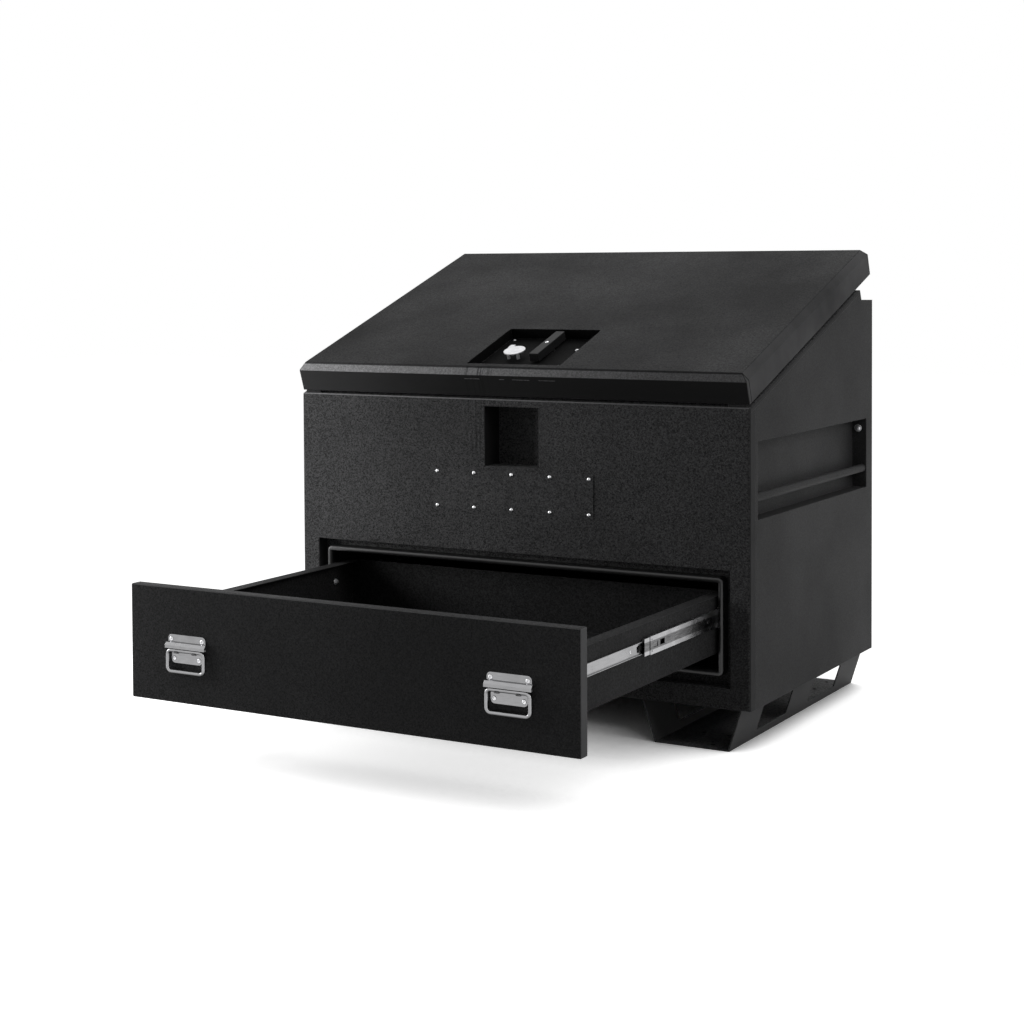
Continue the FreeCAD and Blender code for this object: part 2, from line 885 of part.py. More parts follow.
def middle_slide(side):
    channel = slide_channel(side, middle_back, -cell.middle_slide_reach, cell.middle_slide_height,
                            middle_front, slide_length, cell.slide_lip)
    web = mirrored(side, middle_back - 2 * cell.slide_sheet, bay_half)
    slots = [box(web, (middle_front + start, middle_front + start + cell.slot_length),
                 about(slide_centre, cell.slot_height))
             for start in (cell.slot_first, cell.slot_second)]
    holes = [cylinder("x", (web[0], middle_front + cell.slide_hole_place,
                            slide_centre + way * cell.slide_hole_spacing / 2),
                      web[1] - web[0], cell.slide_hole / 2) for way in (-1, 1)]
    rivet = dome((side, 0, 0), (side * middle_back, middle_front + cell.rivet_place, slide_centre),
                 cell.rivet_head, cell.rivet_rise)
    return fuse(cut(channel, *slots, *holes), rivet)


def slide_cage(side):
    back = middle_back - cell.slide_sheet
    flange_gap = cell.middle_slide_height - 2 * cell.slide_sheet
    start = middle_front - cell.cage_overhang
    length = (start, start + cell.cage_length)
    outside = box(mirrored(side, back - cell.cage_depth, back), length,
                  about(slide_centre, flange_gap))
    room = cell.inner_slide_height + cell.cage_play
    inside = box(mirrored(side, back - 2 * cell.cage_depth, back - cell.cage_wall),
                 grown(length, cell.sheet), about(slide_centre, room))
    return cut(outside, inside)


outer_screws = []
bay_holes = []
inner_screws = []
tray_holes = []
for side_name, side in SIDES:
    outer = slide_channel(side, bay_half, -cell.outer_slide_reach, cell.outer_slide_height,
                          slide_front, slide_length, cell.slide_lip)
    screws, holes = slide_screws(side, bay_half - cell.slide_sheet, -side, slide_front)
    node(cut(outer, group(*holes)), f"slide_outer_{side_name}")
    outer_screws.extend(screws)
    bay_holes.extend(holes)
    node(middle_slide(side), f"slide_middle_{side_name}")
    node(slide_cage(side), f"slide_cage_{side_name}")
    inner = slide_channel(side, tray_half, cell.inner_slide_reach, cell.inner_slide_height,
                          inner_front, slide_length)
    screws, holes = slide_screws(side, tray_half + cell.slide_sheet, side, inner_front)
    node(cut(inner, group(*holes)), f"slide_inner_{side_name}")
    inner_screws.extend(screws)
    tray_holes.extend(holes)
node(group(*outer_screws), "slide_outer_screws")
node(group(*inner_screws), "slide_inner_screws")
node(cut(bay_wall, group(*bay_holes)), "drawer_bay")


# Drawer: a pressed front with folded edges, and a tray behind it

drawer_face = closed_front - cell.drawer_opening
drawer_inner_face = drawer_face + cell.sheet


def front_block(inset):
    width = across(front_half - inset)
    height = (front_bottom + inset, front_top - inset)
    open_face = drawer_face + cell.front_return
    body = extrusion("FrontPan", "XZ_Plane", -open_face, cell.front_return - inset,
                     rectangle(width, height))
    open_place = open_face.value

    def folded(bounds):
        return bounds.YMin < open_place - 1

    dress(body, "Fillet", folded, Radius=cell.front_bend - inset)
    return body


def grip_screws(side):
    centre = side * grip_centre
    upper = grip_plate_top - cell.grip_screw_edge
    lower = grip_plate_bottom + cell.grip_screw_edge
    spots = [(centre + way * spread, z) for spread, z in
             ((cell.grip_screw_upper, upper), (cell.grip_screw_lower, lower)) for way in (-1, 1)]
    face = drawer_face - cell.grip_plate_thickness
    return zip(*[fastener((0, -1, 0), (x, face, z), cell.grip_screw_head, cell.grip_screw_rise,
                          cell.screw_size, cell.grip_plate_thickness + cell.screw_reach)
                 for x, z in spots])


grip_lip = bail_height + cell.bail_wire / 2 + cell.bail_gap
bail_out = cell.grip_plate_thickness + cell.bail_gap + cell.bail_wire / 2


def grip_plate(side, holes):
    """The stamped plate of a chest handle: an upper flange, a hood over the wire and a lower flange."""
    centre = side * grip_centre
    upper, lower = cell.grip_plate_width / 2, cell.grip_lower_width / 2
    step = upper - lower
    outline = [
        (centre - upper, grip_plate_top), (centre + upper, grip_plate_top),
        (centre + upper, grip_lip), (centre + lower, grip_lip - step),
        (centre + lower, grip_plate_bottom), (centre - lower, grip_plate_bottom),
        (centre - lower, grip_lip - step), (centre - upper, grip_lip),
    ]
    flat = extrusion("GripFlat", "XZ_Plane", -drawer_face, cell.grip_plate_thickness, outline)
    top, bottom = grip_plate_top.value, grip_plate_bottom.value

    def corner_edge(bounds):
        upright = bounds.XLength < 1e-3 and bounds.ZLength < 1e-3
        return upright and (abs(bounds.ZMax - top) < 1e-3 or abs(bounds.ZMax - bottom) < 1e-3)

    dress(flat, "Fillet", corner_edge, Radius=step)
    wall = cell.grip_plate_thickness
    deep, high = cell.grip_hood_depth, cell.grip_hood_height
    hood_points = [
        (wall, high + wall), (cell.grip_hood_shoulder, high), (deep, high / 2), (deep, size(0)),
        (deep - wall, size(0)), (deep - wall, high / 2 - wall / 4),
        (cell.grip_hood_shoulder - wall / 2, high - wall), (wall, high - wall / 2),
    ]
    hood = extrusion("GripHood", "YZ_Plane", centre - cell.grip_hood_width / 2, cell.grip_hood_width,
                     [(drawer_face - out, grip_lip + up) for out, up in hood_points])
    hooks = []
    for way in (-1, 1):
        start = (centre + way * cell.hook_centre - cell.hook_width / 2, drawer_face - bail_out,
                 bail_height)
        bore = cell.bail_wire / 2 + cell.bail_gap
        ring = cut(cylinder("x", start, cell.hook_width, bore + wall),
                   cylinder("x", start, cell.hook_width, bore))
        below = box(about(centre, cell.grip_plate_width), (drawer_face - 2 * bail_out, drawer_face),
                    (bail_height - 2 * bore, bail_height - cell.bail_wire / 4))
        hooks.append(common(ring, below))
    return cut(fuse(flat, hood, *hooks), group(*holes))


def bail(side):
    """The wire ring of a chest handle, hanging from its hood."""
    centre = side * grip_centre
    y = drawer_face - bail_out
    half = cell.bail_width / 2
    bend = cell.bail_corner
    top, bottom = bail_height, bail_height - cell.bail_drop
    wire = cell.bail_wire / 2
    parts = []
    for z in (top, bottom):
        parts.append(cylinder("x", (centre - half + bend, y, z), 2 * (half - bend), wire))
    for x in (centre - half, centre + half):
        parts.append(cylinder("z", (x, y, bottom + bend), top - bottom - 2 * bend, wire))
    upright = FreeCAD.Rotation(AXES["x"], 90)
    corners = ((half, top), (-half, top), (-half, bottom), (half, bottom))
    for quarter, (x, z) in enumerate(corners):
        elbow = doc.addObject("Part::Torus", "Elbow")
        turn(elbow, upright * FreeCAD.Rotation(AXES["z"], 90 * quarter))
        bind(elbow, "Radius1", bend)
        bind(elbow, "Radius2", wire)
        elbow.Angle3 = 90
        inward_x = -bend if quarter in (0, 3) else bend
        inward_z = -bend if quarter in (0, 1) else bend
        parts.append(move(elbow, centre + x + inward_x, y, z + inward_z))
    return fuse(*parts)


all_grip_screws = []
all_grip_holes = []
grip_plates = []
for side_name, side in SIDES:
    screws, holes = grip_screws(side)
    all_grip_screws.extend(screws)
    all_grip_holes.extend(holes)
    grip_plates.append(grip_plate(side, holes))
    node(bail(side), f"handle_bail_{side_name}")
node(group(*grip_plates), "handle_plates")
node(group(*all_grip_screws), "handle_screws")
node(cut(front_block(size(0)), front_block(cell.sheet), group(*all_grip_holes)), "drawer_front")

tray_rear = back_inner - cell.tray_rear_gap - cell.drawer_opening
tray_length = (drawer_inner_face, tray_rear)
tray_inside = box(across(tray_half - cell.sheet), (drawer_face, tray_rear - cell.sheet),
                  (tray_bottom + cell.sheet, 2 * tray_top))
tray_shell = cut(box(across(tray_half), tray_length, (tray_bottom, tray_top)), tray_inside)
tray_flanges = [box(mirrored(side, tray_half - cell.tray_flange, tray_half), tray_length,
                    (tray_top - cell.sheet, tray_top)) for _, side in SIDES]
node(cut(fuse(tray_shell, *tray_flanges), group(*tray_holes)), "drawer_tray")


# Lid, drawn flat: x across, y along the slope, z square to it

lid_half = half_width - cell.lid_side_gap
skirt_inner = cell.lid_front + cell.sheet
top_inner = cell.lid_top - cell.sheet


def lid_block(inset):
    start = cell.lid_underside * (1 - inset / cell.sheet)
    outline = rectangle(across(lid_half - inset), (cell.lid_front + inset, lid_rear - inset))
    body = extrusion("LidBlock", "XY_Plane", start, cell.lid_top - inset - start, outline)
    top = (cell.lid_top - inset).value

    def top_edge(bounds):
        return bounds.ZMin > top - 1e-3

    dress(body, "Chamfer", top_edge, Size=cell.lid_bevel_rise, Size2=cell.lid_bevel_run)
    open_place = start.value

    def folded(bounds):
        return bounds.ZMax > open_place + 1e-3

    dress(body, "Fillet", folded, Radius=cell.lid_bend - inset)
    return body


well_half = cell.well_width / 2
well_outside = (across(well_half + cell.sheet),
                (cell.well_front - cell.sheet, cell.well_front + cell.well_length + cell.sheet))
well_inside = (across(well_half), (cell.well_front, cell.well_front + cell.well_length))
well_floor = cell.lid_top - cell.well_depth
well_under = well_floor - cell.sheet
lid_hole = box(*well_outside, (well_under, cell.lid_top + cell.sheet))
node(on_slope(cut(lid_block(size(0)), lid_block(cell.sheet), lid_hole)), "lid_shell")

well_bolt_spots = [
    (-cell.well_bolt_x, cell.well_bolt_front), (cell.well_bolt_x, cell.well_bolt_front),
    (cell.well_bolt_x, cell.well_bolt_rear), (-cell.well_bolt_far_x, cell.well_bolt_far),
]
well_bolts, well_bolt_holes = zip(*[
    fastener((0, 0, 1), (x, y, well_floor), cell.well_bolt_head, cell.well_bolt_rise,
             cell.screw_size, cell.screw_reach) for x, y in well_bolt_spots])
node(on_slope(group(*well_bolts)), "recess_bolts")

lever_x = cell.lever_centre
lever_y = cell.lever_pivot
shaft_radius = cell.lever_shaft / 2
lever_under = well_floor + cell.lever_rise
bore_radius = shaft_radius + cell.running_fit
well_tray = cut(box(*well_outside, (well_under, cell.lid_top)),
                box(*well_inside, (well_floor, 2 * cell.lid_top)))
well_tongue = box(well_outside[0], (skirt_inner, cell.well_front), (well_under, well_floor))
bushing = cylinder("z", (lever_x, lever_y, well_under), lever_under - well_under - cell.lever_gap,
                   cell.lever_bushing / 2)
lever_bore = cylinder("z", (lever_x, lever_y, size(0)), cell.lid_top, bore_radius)
node(on_slope(cut(fuse(well_tray, well_tongue, bushing), lever_bore, group(*well_bolt_holes))),
     "lid_recess_pan")

liner_half = opening_half + cell.liner_overlap
liner_span = (cell.liner_front, rim_rear + cell.liner_rear_overlap)
liner_floor = cell.liner_underside + cell.sheet
liner = cut(box(across(liner_half), liner_span, (cell.liner_underside, top_inner)),
            box(across(liner_half - cell.sheet), grown(liner_span, -cell.sheet), (liner_floor, cell.lid_top)),
            box(grown(well_outside[0], cell.sheet), grown((cell.liner_front, cell.well_front), cell.sheet),
                (cell.liner_notch, cell.lid_top)),
            cylinder("x", (-half_width, lever_y, cell.lock_rod_height), cell.body_width,
                     cell.lock_rod / 2 + cell.lock_rod_clearance))
node(on_slope(liner), "lid_liner")


# Swing handle, its cam and the two lock rods

lever_top = lever_under + cell.lever_thickness
lever_bar = extrusion("LeverBar", "XY_Plane", lever_under, cell.lever_thickness,
                      rectangle(about(lever_x, cell.lever_width),
                                (lever_y - cell.lever_front, lever_y + cell.lever_rear)))
lever_under_place = lever_under.value
dress(lever_bar, "Fillet", lambda bounds: bounds.ZMax > lever_under_place + 1e-3, Radius=cell.lever_round)
cam_top = well_under - cell.cam_gap
cam_under = cam_top - cell.cam_thickness
shaft = cylinder("z", (lever_x, lever_y, cam_top), lever_under - cam_top, shaft_radius)
node(on_slope(fuse(lever_bar, shaft)), "swing_handle")
lever_bolt = dome((0, 0, 1), (lever_x, lever_y, lever_top), cell.lever_bolt_head, cell.lever_bolt_rise)
node(on_slope(group(lever_bolt)), "handle_bolt")

pin_offset = cell.cam_pin_circle * math.sqrt(0.5)
pin_radius = cell.cam_pin / 2
pin_under = cam_under - cell.cam_pin_length
cam_parts = [cylinder("z", (lever_x, lever_y, cam_under), cell.cam_thickness, cell.cam_diameter / 2)]
for _, side in SIDES:
    cam_parts.append(cylinder("z", (lever_x - side * pin_offset, lever_y - side * pin_offset, pin_under),
                              cam_under - pin_under, pin_radius))
node(on_slope(fuse(*cam_parts)), "lock_cam")


def lock_rod(side):
    """A round rod with a slotted yoke plate that hangs under the cam."""
    pin_x = lever_x - side * pin_offset
    pin_y_middle = lever_y - side * (pin_offset + cell.cam_pin_circle) / 2
    slot_half = (cell.cam_pin_circle - pin_offset) / 2 + pin_radius + cell.yoke_slack
    slot_width = pin_radius + cell.yoke_slack
    height = (cam_under - cell.cam_gap - cell.yoke_thickness, cam_under - cell.cam_gap)
    start = lever_x + side * (cell.cam_diameter / 2 + cell.yoke_margin)
    end = side * (liner_half - cell.lock_rod_end)
    edge = slot_half + cell.yoke_margin
    far = pin_x - side * (slot_width + cell.yoke_wall)
    beyond = start + side * cell.lock_rod

    def between(first, second):
        return (first, second) if first.value < second.value else (second, first)

    plate = box(between(far, beyond), about(pin_y_middle, 2 * edge), height)
    neck = box(between(start, beyond), between(lever_y + side * cell.lock_rod / 2, pin_y_middle), height)
    slot = box(about(pin_x, 2 * slot_width), about(pin_y_middle, 2 * slot_half),
               grown(height, cell.sheet))
    low, high = between(start, end)
    bar = cylinder("x", (low, lever_y, cell.lock_rod_height), high - low, cell.lock_rod / 2)
    return cut(fuse(plate, neck, bar), slot)


guides = []
keepers = []
keeper_near = liner_half + cell.keeper_gap
keeper_far = keeper_near + cell.keeper_thickness
for side_name, side in SIDES:
    node(on_slope(lock_rod(side)), f"lock_rod_{side_name}")
    for place in (cell.guide_inner, liner_half - cell.guide_end):
        block = box(about(side * place, cell.guide_thickness), about(lever_y, cell.guide_width),
                    (liner_floor, well_under - cell.guide_gap))
        bore = cylinder("x", (side * place - cell.guide_thickness, lever_y, cell.lock_rod_height),
                        2 * cell.guide_thickness, cell.lock_rod / 2 + cell.running_fit)
        guides.append(cut(block, bore))
    width = about(lever_y, cell.keeper_width)
    upright = box(mirrored(side, keeper_near, keeper_far), width, (size(0), cell.keeper_height))
    foot = box(mirrored(side, keeper_near, keeper_far + cell.keeper_foot), width,
               (size(0), cell.keeper_thickness))
    reach = mirrored(side, keeper_near - cell.sheet, keeper_far + cell.sheet)
    hole = cylinder("x", (reach[0], lever_y, cell.lock_rod_height), reach[1] - reach[0],
                    cell.keeper_hole / 2)
    keepers.append(on_slope(cut(fuse(upright, foot), hole)))
node(on_slope(group(*guides)), "rod_guides")
node(group(*keepers), "lock_keepers")

guard_x = -cell.guard_centre_x
guard_y = cell.guard_centre_along
guard_under = well_floor + cell.guard_rise
guard_disc = cylinder("z", (guard_x, guard_y, guard_under), cell.guard_thickness,
                      cell.guard_diameter / 2)
guard_posts = [cylinder("z", (guard_x + x, guard_y - cell.guard_post_front, well_floor),
                        guard_under - well_floor, cell.guard_post / 2)
               for x in (-cell.guard_post_left, cell.guard_post_right)]
tab_x = guard_x - cell.guard_tab_left
tab_y = guard_y + cell.guard_tab_start
guard_tab = box((tab_x, tab_x + cell.guard_tab_width), (tab_y, tab_y + cell.guard_tab_length),
                (guard_under, guard_under + cell.sheet))
node(on_slope(fuse(guard_disc, guard_tab, *guard_posts)), "padlock_guard")


# Lid hinges

hinge_y, hinge_z = slope_point(hinge_along, -cell.hinge_drop)
barrel = cell.hinge_barrel / 2
hinge_places = [way * (half_width - cell.hinge_end) for way in (-1, 0, 1)]
lid_knuckle = cell.hinge_length - 2 * (cell.hinge_ear + cell.hinge_gap)
body_leaves = []
pins = []
lid_leaves = []
for centre in hinge_places:
    span = about(centre, cell.hinge_length)
    plate_depth = about(hinge_y, cell.hinge_plate)
    shelf = hinge_z - barrel - cell.sheet
    pieces = [box(span, plate_depth, (ledge_height, shelf))]
    for ear in ((span[0], span[0] + cell.hinge_ear), (span[1] - cell.hinge_ear, span[1])):
        pieces.append(box(ear, plate_depth, (ledge_height, hinge_z)))
        pieces.append(cylinder("x", (ear[0], hinge_y, hinge_z), ear[1] - ear[0], barrel))
    pin_start = (span[0], hinge_y, hinge_z)
    body_leaves.append(cut(fuse(*pieces), cylinder("x", pin_start, span[1] - span[0], cell.hinge_pin / 2)))
    pins.append(cylinder("x", pin_start, span[1] - span[0], cell.hinge_pin / 2))
    width = about(centre, lid_knuckle)
    knuckle = cylinder("x", (width[0], hinge_along, -cell.hinge_drop), width[1] - width[0], barrel)
    leaf = box(width, about(hinge_along, cell.hinge_plate), (-cell.hinge_drop, top_inner))
    bore = cylinder("x", (width[0], hinge_along, -cell.hinge_drop), width[1] - width[0],
                    cell.hinge_pin / 2 + cell.running_fit)
    lid_leaves.append(cut(fuse(knuckle, leaf), bore))
node(group(*body_leaves), "hinge_leaves_body")
node(group(*pins), "hinge_pins")
node(on_slope(group(*lid_leaves)), "hinge_leaves_lid")


# Gas struts: each pair of pivots and the hinge make a triangle with two equal sides

half_angle = cell.strut_angle / 2
upper_along = hinge_along - cell.strut_radius
lower_along = hinge_along - cell.strut_radius * cosine(cell.strut_angle)
lower_square = -cell.hinge_drop - cell.strut_radius * sine(cell.strut_angle)
lower_y, lower_z = slope_point(lower_along, lower_square)
upper_y, upper_z = slope_point(upper_along, -cell.hinge_drop)
shut_length = 2 * cell.strut_radius * sine(half_angle)
rod_length = shut_length - cell.strut_end - cell.strut_wall - cell.strut_play
tube_end = shut_length - cell.strut_head
eye_radius = cell.eye_diameter / 2
stud_radius = cell.stud_diameter / 2
rod_radius = cell.strut_rod / 2


def on_strut(thing, y, z):
    """Stand a thing that is drawn upright along the line of a shut strut."""
    turn(thing, FreeCAD.Rotation(AXES["x"], 1))
    bind(thing, "Placement.Rotation.Angle", cell.slope_angle + half_angle)
    return move(thing, y=y, z=z)


def eye(x):
    """The solid ring of a strut end and the hole through it."""
    start = (x - cell.eye_thickness / 2, size(0), size(0))
    ring = cylinder("x", start, cell.eye_thickness, eye_radius)
    return ring, cylinder("x", start, cell.eye_thickness, stud_radius + cell.running_fit)


def strut_cylinder(side):
    x = side * strut_centre
    ring, hole = eye(x)
    neck = cylinder("z", (x, size(0), size(0)), cell.strut_end, rod_radius)
    tube = cylinder("z", (x, size(0), cell.strut_end), tube_end - cell.strut_end, cell.strut_tube / 2)
    chamber_start = cell.strut_end + cell.strut_wall
    chamber = cylinder("z", (x, size(0), chamber_start), tube_end - cell.strut_cap - chamber_start,
                       cell.strut_tube / 2 - cell.strut_wall)
    mouth = cylinder("z", (x, size(0), tube_end - 2 * cell.strut_cap), 4 * cell.strut_cap,
                     rod_radius + cell.running_fit)
    return on_strut(cut(fuse(ring, neck, tube), hole, chamber, mouth), lower_y, lower_z)


def strut_rod(side):
    x = side * strut_centre
    ring, hole = eye(x)
    rod = cylinder("z", (x, size(0), -rod_length), rod_length, rod_radius)
    piston = cylinder("z", (x, size(0), -rod_length), cell.strut_piston,
                      cell.strut_tube / 2 - cell.strut_wall - cell.running_fit)
    return on_strut(cut(fuse(ring, rod, piston), hole), upper_y, upper_z)


def stud(side, wall_x, centre_y, centre_z):
    """A stud pointing inwards from a bracket plate, with a head that keeps the eye on."""
    head_face = strut_centre - cell.eye_thickness / 2 - cell.stud_play
    shank = mirrored(side, head_face, wall_x)
    head = mirrored(side, head_face - cell.stud_head_thickness, head_face)
    return (cylinder("x", (shank[0], centre_y, centre_z), shank[1] - shank[0], stud_radius),
            cylinder("x", (head[0], centre_y, centre_z), head[1] - head[0], cell.stud_head / 2))


half_bracket = cell.bracket_size / 2
body_brackets = []
lid_brackets = []
for side_name, side in SIDES:
    node(strut_cylinder(side), f"strut_cylinder_{side_name}")
    node(strut_rod(side), f"strut_rod_{side_name}")
    outer_wall = inner_half_width - cell.side_pocket_depth
    plate_near = outer_wall - cell.bracket_thickness
    plate = box(mirrored(side, plate_near, outer_wall), about(lower_y, cell.bracket_size),
                about(lower_z, cell.bracket_size))
    body_brackets.append(fuse(plate, *stud(side, plate_near, lower_y, lower_z)))
    near = strut_centre + cell.eye_thickness / 2 + cell.bracket_thickness
    plate = box(mirrored(side, near, near + cell.bracket_thickness), about(upper_along, cell.bracket_size),
                (-cell.hinge_drop - cell.bracket_drop, cell.liner_underside))
    lid_brackets.append(fuse(plate, *stud(side, near, upper_along, -cell.hinge_drop)))
node(group(*body_brackets), "strut_brackets_body")
node(on_slope(group(*lid_brackets)), "strut_brackets_lid")


# Check every object, then write each finished piece

doc.recompute()
for thing in doc.Objects:
    if any(word in thing.State for word in ("Invalid", "Error")):
        raise RuntimeError(f"{thing.Label} failed: {thing.State}")
for piece in nodes:
    if piece.Shape.isNull() or not piece.Shape.isValid() or not piece.Shape.Solids:
        raise RuntimeError(f"{piece.Label} has no valid solid")
for piece in nodes:
    piece.Shape.exportStep(f"parts/{piece.Label}.step")
print(f"{len(nodes)} nodes written")
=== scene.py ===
"""Looks of the jobsite box: materials, small details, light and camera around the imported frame."""
import math

import bmesh
import bpy
from mathutils import Matrix, Vector


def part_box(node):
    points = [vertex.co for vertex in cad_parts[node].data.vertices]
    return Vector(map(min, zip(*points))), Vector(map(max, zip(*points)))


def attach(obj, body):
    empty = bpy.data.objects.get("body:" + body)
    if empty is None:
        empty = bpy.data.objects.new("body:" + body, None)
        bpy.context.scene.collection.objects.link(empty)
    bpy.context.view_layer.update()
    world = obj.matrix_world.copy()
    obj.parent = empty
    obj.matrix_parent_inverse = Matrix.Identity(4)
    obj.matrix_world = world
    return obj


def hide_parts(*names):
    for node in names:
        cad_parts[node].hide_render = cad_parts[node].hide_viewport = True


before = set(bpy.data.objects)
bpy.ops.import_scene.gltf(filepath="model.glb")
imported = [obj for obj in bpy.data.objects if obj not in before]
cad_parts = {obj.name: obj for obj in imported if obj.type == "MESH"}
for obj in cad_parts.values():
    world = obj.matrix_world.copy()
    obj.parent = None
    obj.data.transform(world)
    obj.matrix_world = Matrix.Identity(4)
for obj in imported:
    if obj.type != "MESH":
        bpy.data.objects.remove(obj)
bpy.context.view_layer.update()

# The lid's slope: its angle, its two directions and its start at the front rim
SLOPE = math.radians(19.64)
ALONG = Vector((0, math.cos(SLOPE), math.sin(SLOPE)))
SQUARE = Vector((0, -math.sin(SLOPE), math.cos(SLOPE)))
SLOPE_ORIGIN = Vector((0, -0.4, 0.762))


def on_slope(x, along, square):
    """The place of a point given across, along and square to the lid's slope."""
    return Vector((x, 0, 0)) + SLOPE_ORIGIN + ALONG * along + SQUARE * square


# Camera at the photograph's place, from a fit of camera and box to the picture

CAMERA_PLACE = (2.18187, -4.18623, 1.06765)
YAW, PITCH, ROLL = 0.51599, -0.03221, 0.00478
FOCAL_PIXELS, CENTRE_U, CENTRE_V = 1875.195, 523.593, 329.359
PICTURE_PIXELS, SENSOR_WIDTH = 1024, 36


def make_camera():
    turn = (Matrix.Rotation(YAW, 3, "Z") @ Matrix.Rotation(PITCH, 3, "X")
            @ Matrix.Rotation(ROLL, 3, "Y"))
    right, ahead, up = (turn @ Vector(axis) for axis in ((1, 0, 0), (0, 1, 0), (0, 0, 1)))
    basis = Matrix((right, up, -ahead)).transposed().to_4x4()
    data = bpy.data.cameras.new("camera")
    data.sensor_width = SENSOR_WIDTH
    data.lens = FOCAL_PIXELS * SENSOR_WIDTH / PICTURE_PIXELS
    data.shift_x = (PICTURE_PIXELS / 2 - CENTRE_U) / PICTURE_PIXELS
    data.shift_y = (CENTRE_V - PICTURE_PIXELS / 2) / PICTURE_PIXELS
    data.clip_start = 0.1
    data.clip_end = 100
    camera = bpy.data.objects.new("camera", data)
    camera.matrix_world = Matrix.Translation(CAMERA_PLACE) @ basis
    bpy.context.scene.collection.objects.link(camera)
    bpy.context.scene.camera = camera


make_camera()


# Node trees

class Nodes:
    """A short way to write the node tree of a material or world."""

    def __init__(self, owner):
        owner.use_nodes = True
        self.tree = owner.node_tree

    def fill(self, node, inputs):
        """Give a node's inputs plain values, or links from other nodes."""
        for key, value in inputs.items():
            if isinstance(value, bpy.types.NodeSocket):
                self.tree.links.new(value, node.inputs[key])
            else:
                node.inputs[key].default_value = value

    def add(self, kind, inputs=None, **settings):
        node = self.tree.nodes.new(kind)
        for key, value in settings.items():
            setattr(node, key, value)
        self.fill(node, inputs or {})
        return node

    def math(self, kind, *values):
        return self.add("ShaderNodeMath", dict(enumerate(values)), operation=kind).outputs[0]

    def ranged(self, value, low, high, to_low=0.0, to_high=1.0):
        """A value carried from one range over to another, and kept inside it."""
        node = self.add("ShaderNodeMapRange", {"Value": value, "From Min": low, "From Max": high,
                                               "To Min": to_low, "To Max": to_high})
        return node.outputs[0]

    def showing(self):
        """1 for the rays that show the backdrop itself, and 0 for those that carry its light."""
        rays = self.add("ShaderNodeLightPath").outputs
        seen = rays["Is Camera Ray"]
        for kind in ("Is Glossy Ray", "Is Transmission Ray"):
            seen = self.math("MAXIMUM", seen, rays[kind])
        return seen


class Surface(Nodes):
    """A material, with the patterns that the looks are made of."""

    def __init__(self, name):
        self.material = bpy.data.materials.new(name)
        super().__init__(self.material)
        self.shader = self.tree.nodes["Principled BSDF"]
        self.place = self.add("ShaderNodeTexCoord").outputs["Object"]

    def axis(self, letter):
        return self.add("ShaderNodeSeparateXYZ", {"Vector": self.place}).outputs[letter]

    def dot(self, vector, direction):
        node = self.add("ShaderNodeVectorMath", {0: vector, 1: direction}, operation="DOT_PRODUCT")
        return node.outputs["Value"]

    def off(self, value, middle):
        """How far a value is from a middle one, either way."""
        return self.math("ABSOLUTE", self.math("SUBTRACT", value, middle))

    def stretched(self, scale):
        return self.add("ShaderNodeMapping", {"Vector": self.place, "Scale": scale}).outputs[0]

    def noise(self, scale, detail=2.0, rough=0.5, vector=None):
        node = self.add("ShaderNodeTexNoise", {"Vector": vector or self.place, "Scale": scale,
                                               "Detail": detail, "Roughness": rough})
        return node.outputs["Fac"]

    def grains(self, scale):
        """A level of its own in each small cell."""
        cells = self.add("ShaderNodeTexVoronoi", {"Vector": self.place, "Scale": scale})
        return self.add("ShaderNodeSeparateColor", {"Color": cells.outputs["Color"]}).outputs["Red"]

    def mix(self, share, first, second):
        """From the first colour at a share of 0 to the second at 1."""
        colour_a, colour_b, colour_result = 6, 7, 2
        node = self.add("ShaderNodeMix", {"Factor": share}, data_type="RGBA")
        self.fill(node, {colour_a: first, colour_b: second})
        return node.outputs[colour_result]

    def facing(self, direction, low, high, both_ways=False):
        """1 on the faces that point along a direction at rest, and 0 on the others."""
        share = self.dot(self.add("ShaderNodeTexCoord").outputs["Normal"], direction)
        return self.ranged(self.math("ABSOLUTE", share) if both_ways else share, low, high)

    def drips(self, low_x, high_x):
        """Dark runs down a face, between two places across it and only near its top."""
        fade, foot, full = 0.02, 0.6, 0.66
        across = self.axis("X")
        window = self.math("MULTIPLY", self.ranged(across, low_x, low_x + fade),
                           self.ranged(across, high_x, high_x - fade))
        runs = self.ranged(self.noise(1.0, vector=self.stretched((150, 0.5, 4))), 0.52, 0.66)
        return self.math("MULTIPLY", self.math("MULTIPLY", window, runs),
                         self.ranged(self.axis("Z"), foot, full, 0.0, 0.6))

    def rounded(self, radius):
        """The normal of a surface whose edges are broken by a small radius."""
        return self.add("ShaderNodeBevel", {"Radius": radius}, samples=4).outputs[0]

    def edges(self, rounded):
        """Near 1 along edges and near 0 on flat faces."""
        normal = self.add("ShaderNodeNewGeometry").outputs["Normal"]
        return self.ranged(self.dot(rounded, normal), 0.995, 0.85)

    def bump(self, height, distance, strength=1.0, normal=None):
        node = self.add("ShaderNodeBump", {"Height": height, "Distance": distance,
                                           "Strength": strength})
        if normal:
            self.fill(node, {"Normal": normal})
        self.fill(self.shader, {"Normal": node.outputs[0]})


# Materials

LEFT_RIGHT, DOWN, FRONT = (1.0, 0.0, 0.0), (0.0, 0.0, -1.0), (0.0, -1.0, 0.0)
BEVEL = (0.0, -0.939, 0.340)
BEND = (0.0, -0.77, 0.64)
# Across this span the painted highlight on bends and the lid's bevel goes from its left tone to its
# right one
BEND_HIGHLIGHT_SPAN = (-0.5, 0.4)
# How the painted shadow line along the lid's crease fades out
CREASE_SHADOW_EDGE = (0.0026, 0.0014)
# Across this span the painted shade on downward faces goes from its lighter left tone to its darker
# right one
UNDER_SPAN, UNDER_SHADE_TONES = (-0.6, -0.15), (0.045, 0.012)


def grey(level):
    """A grey of this level, with a trace of blue."""
    return (level, level, level * 1.02, 1)


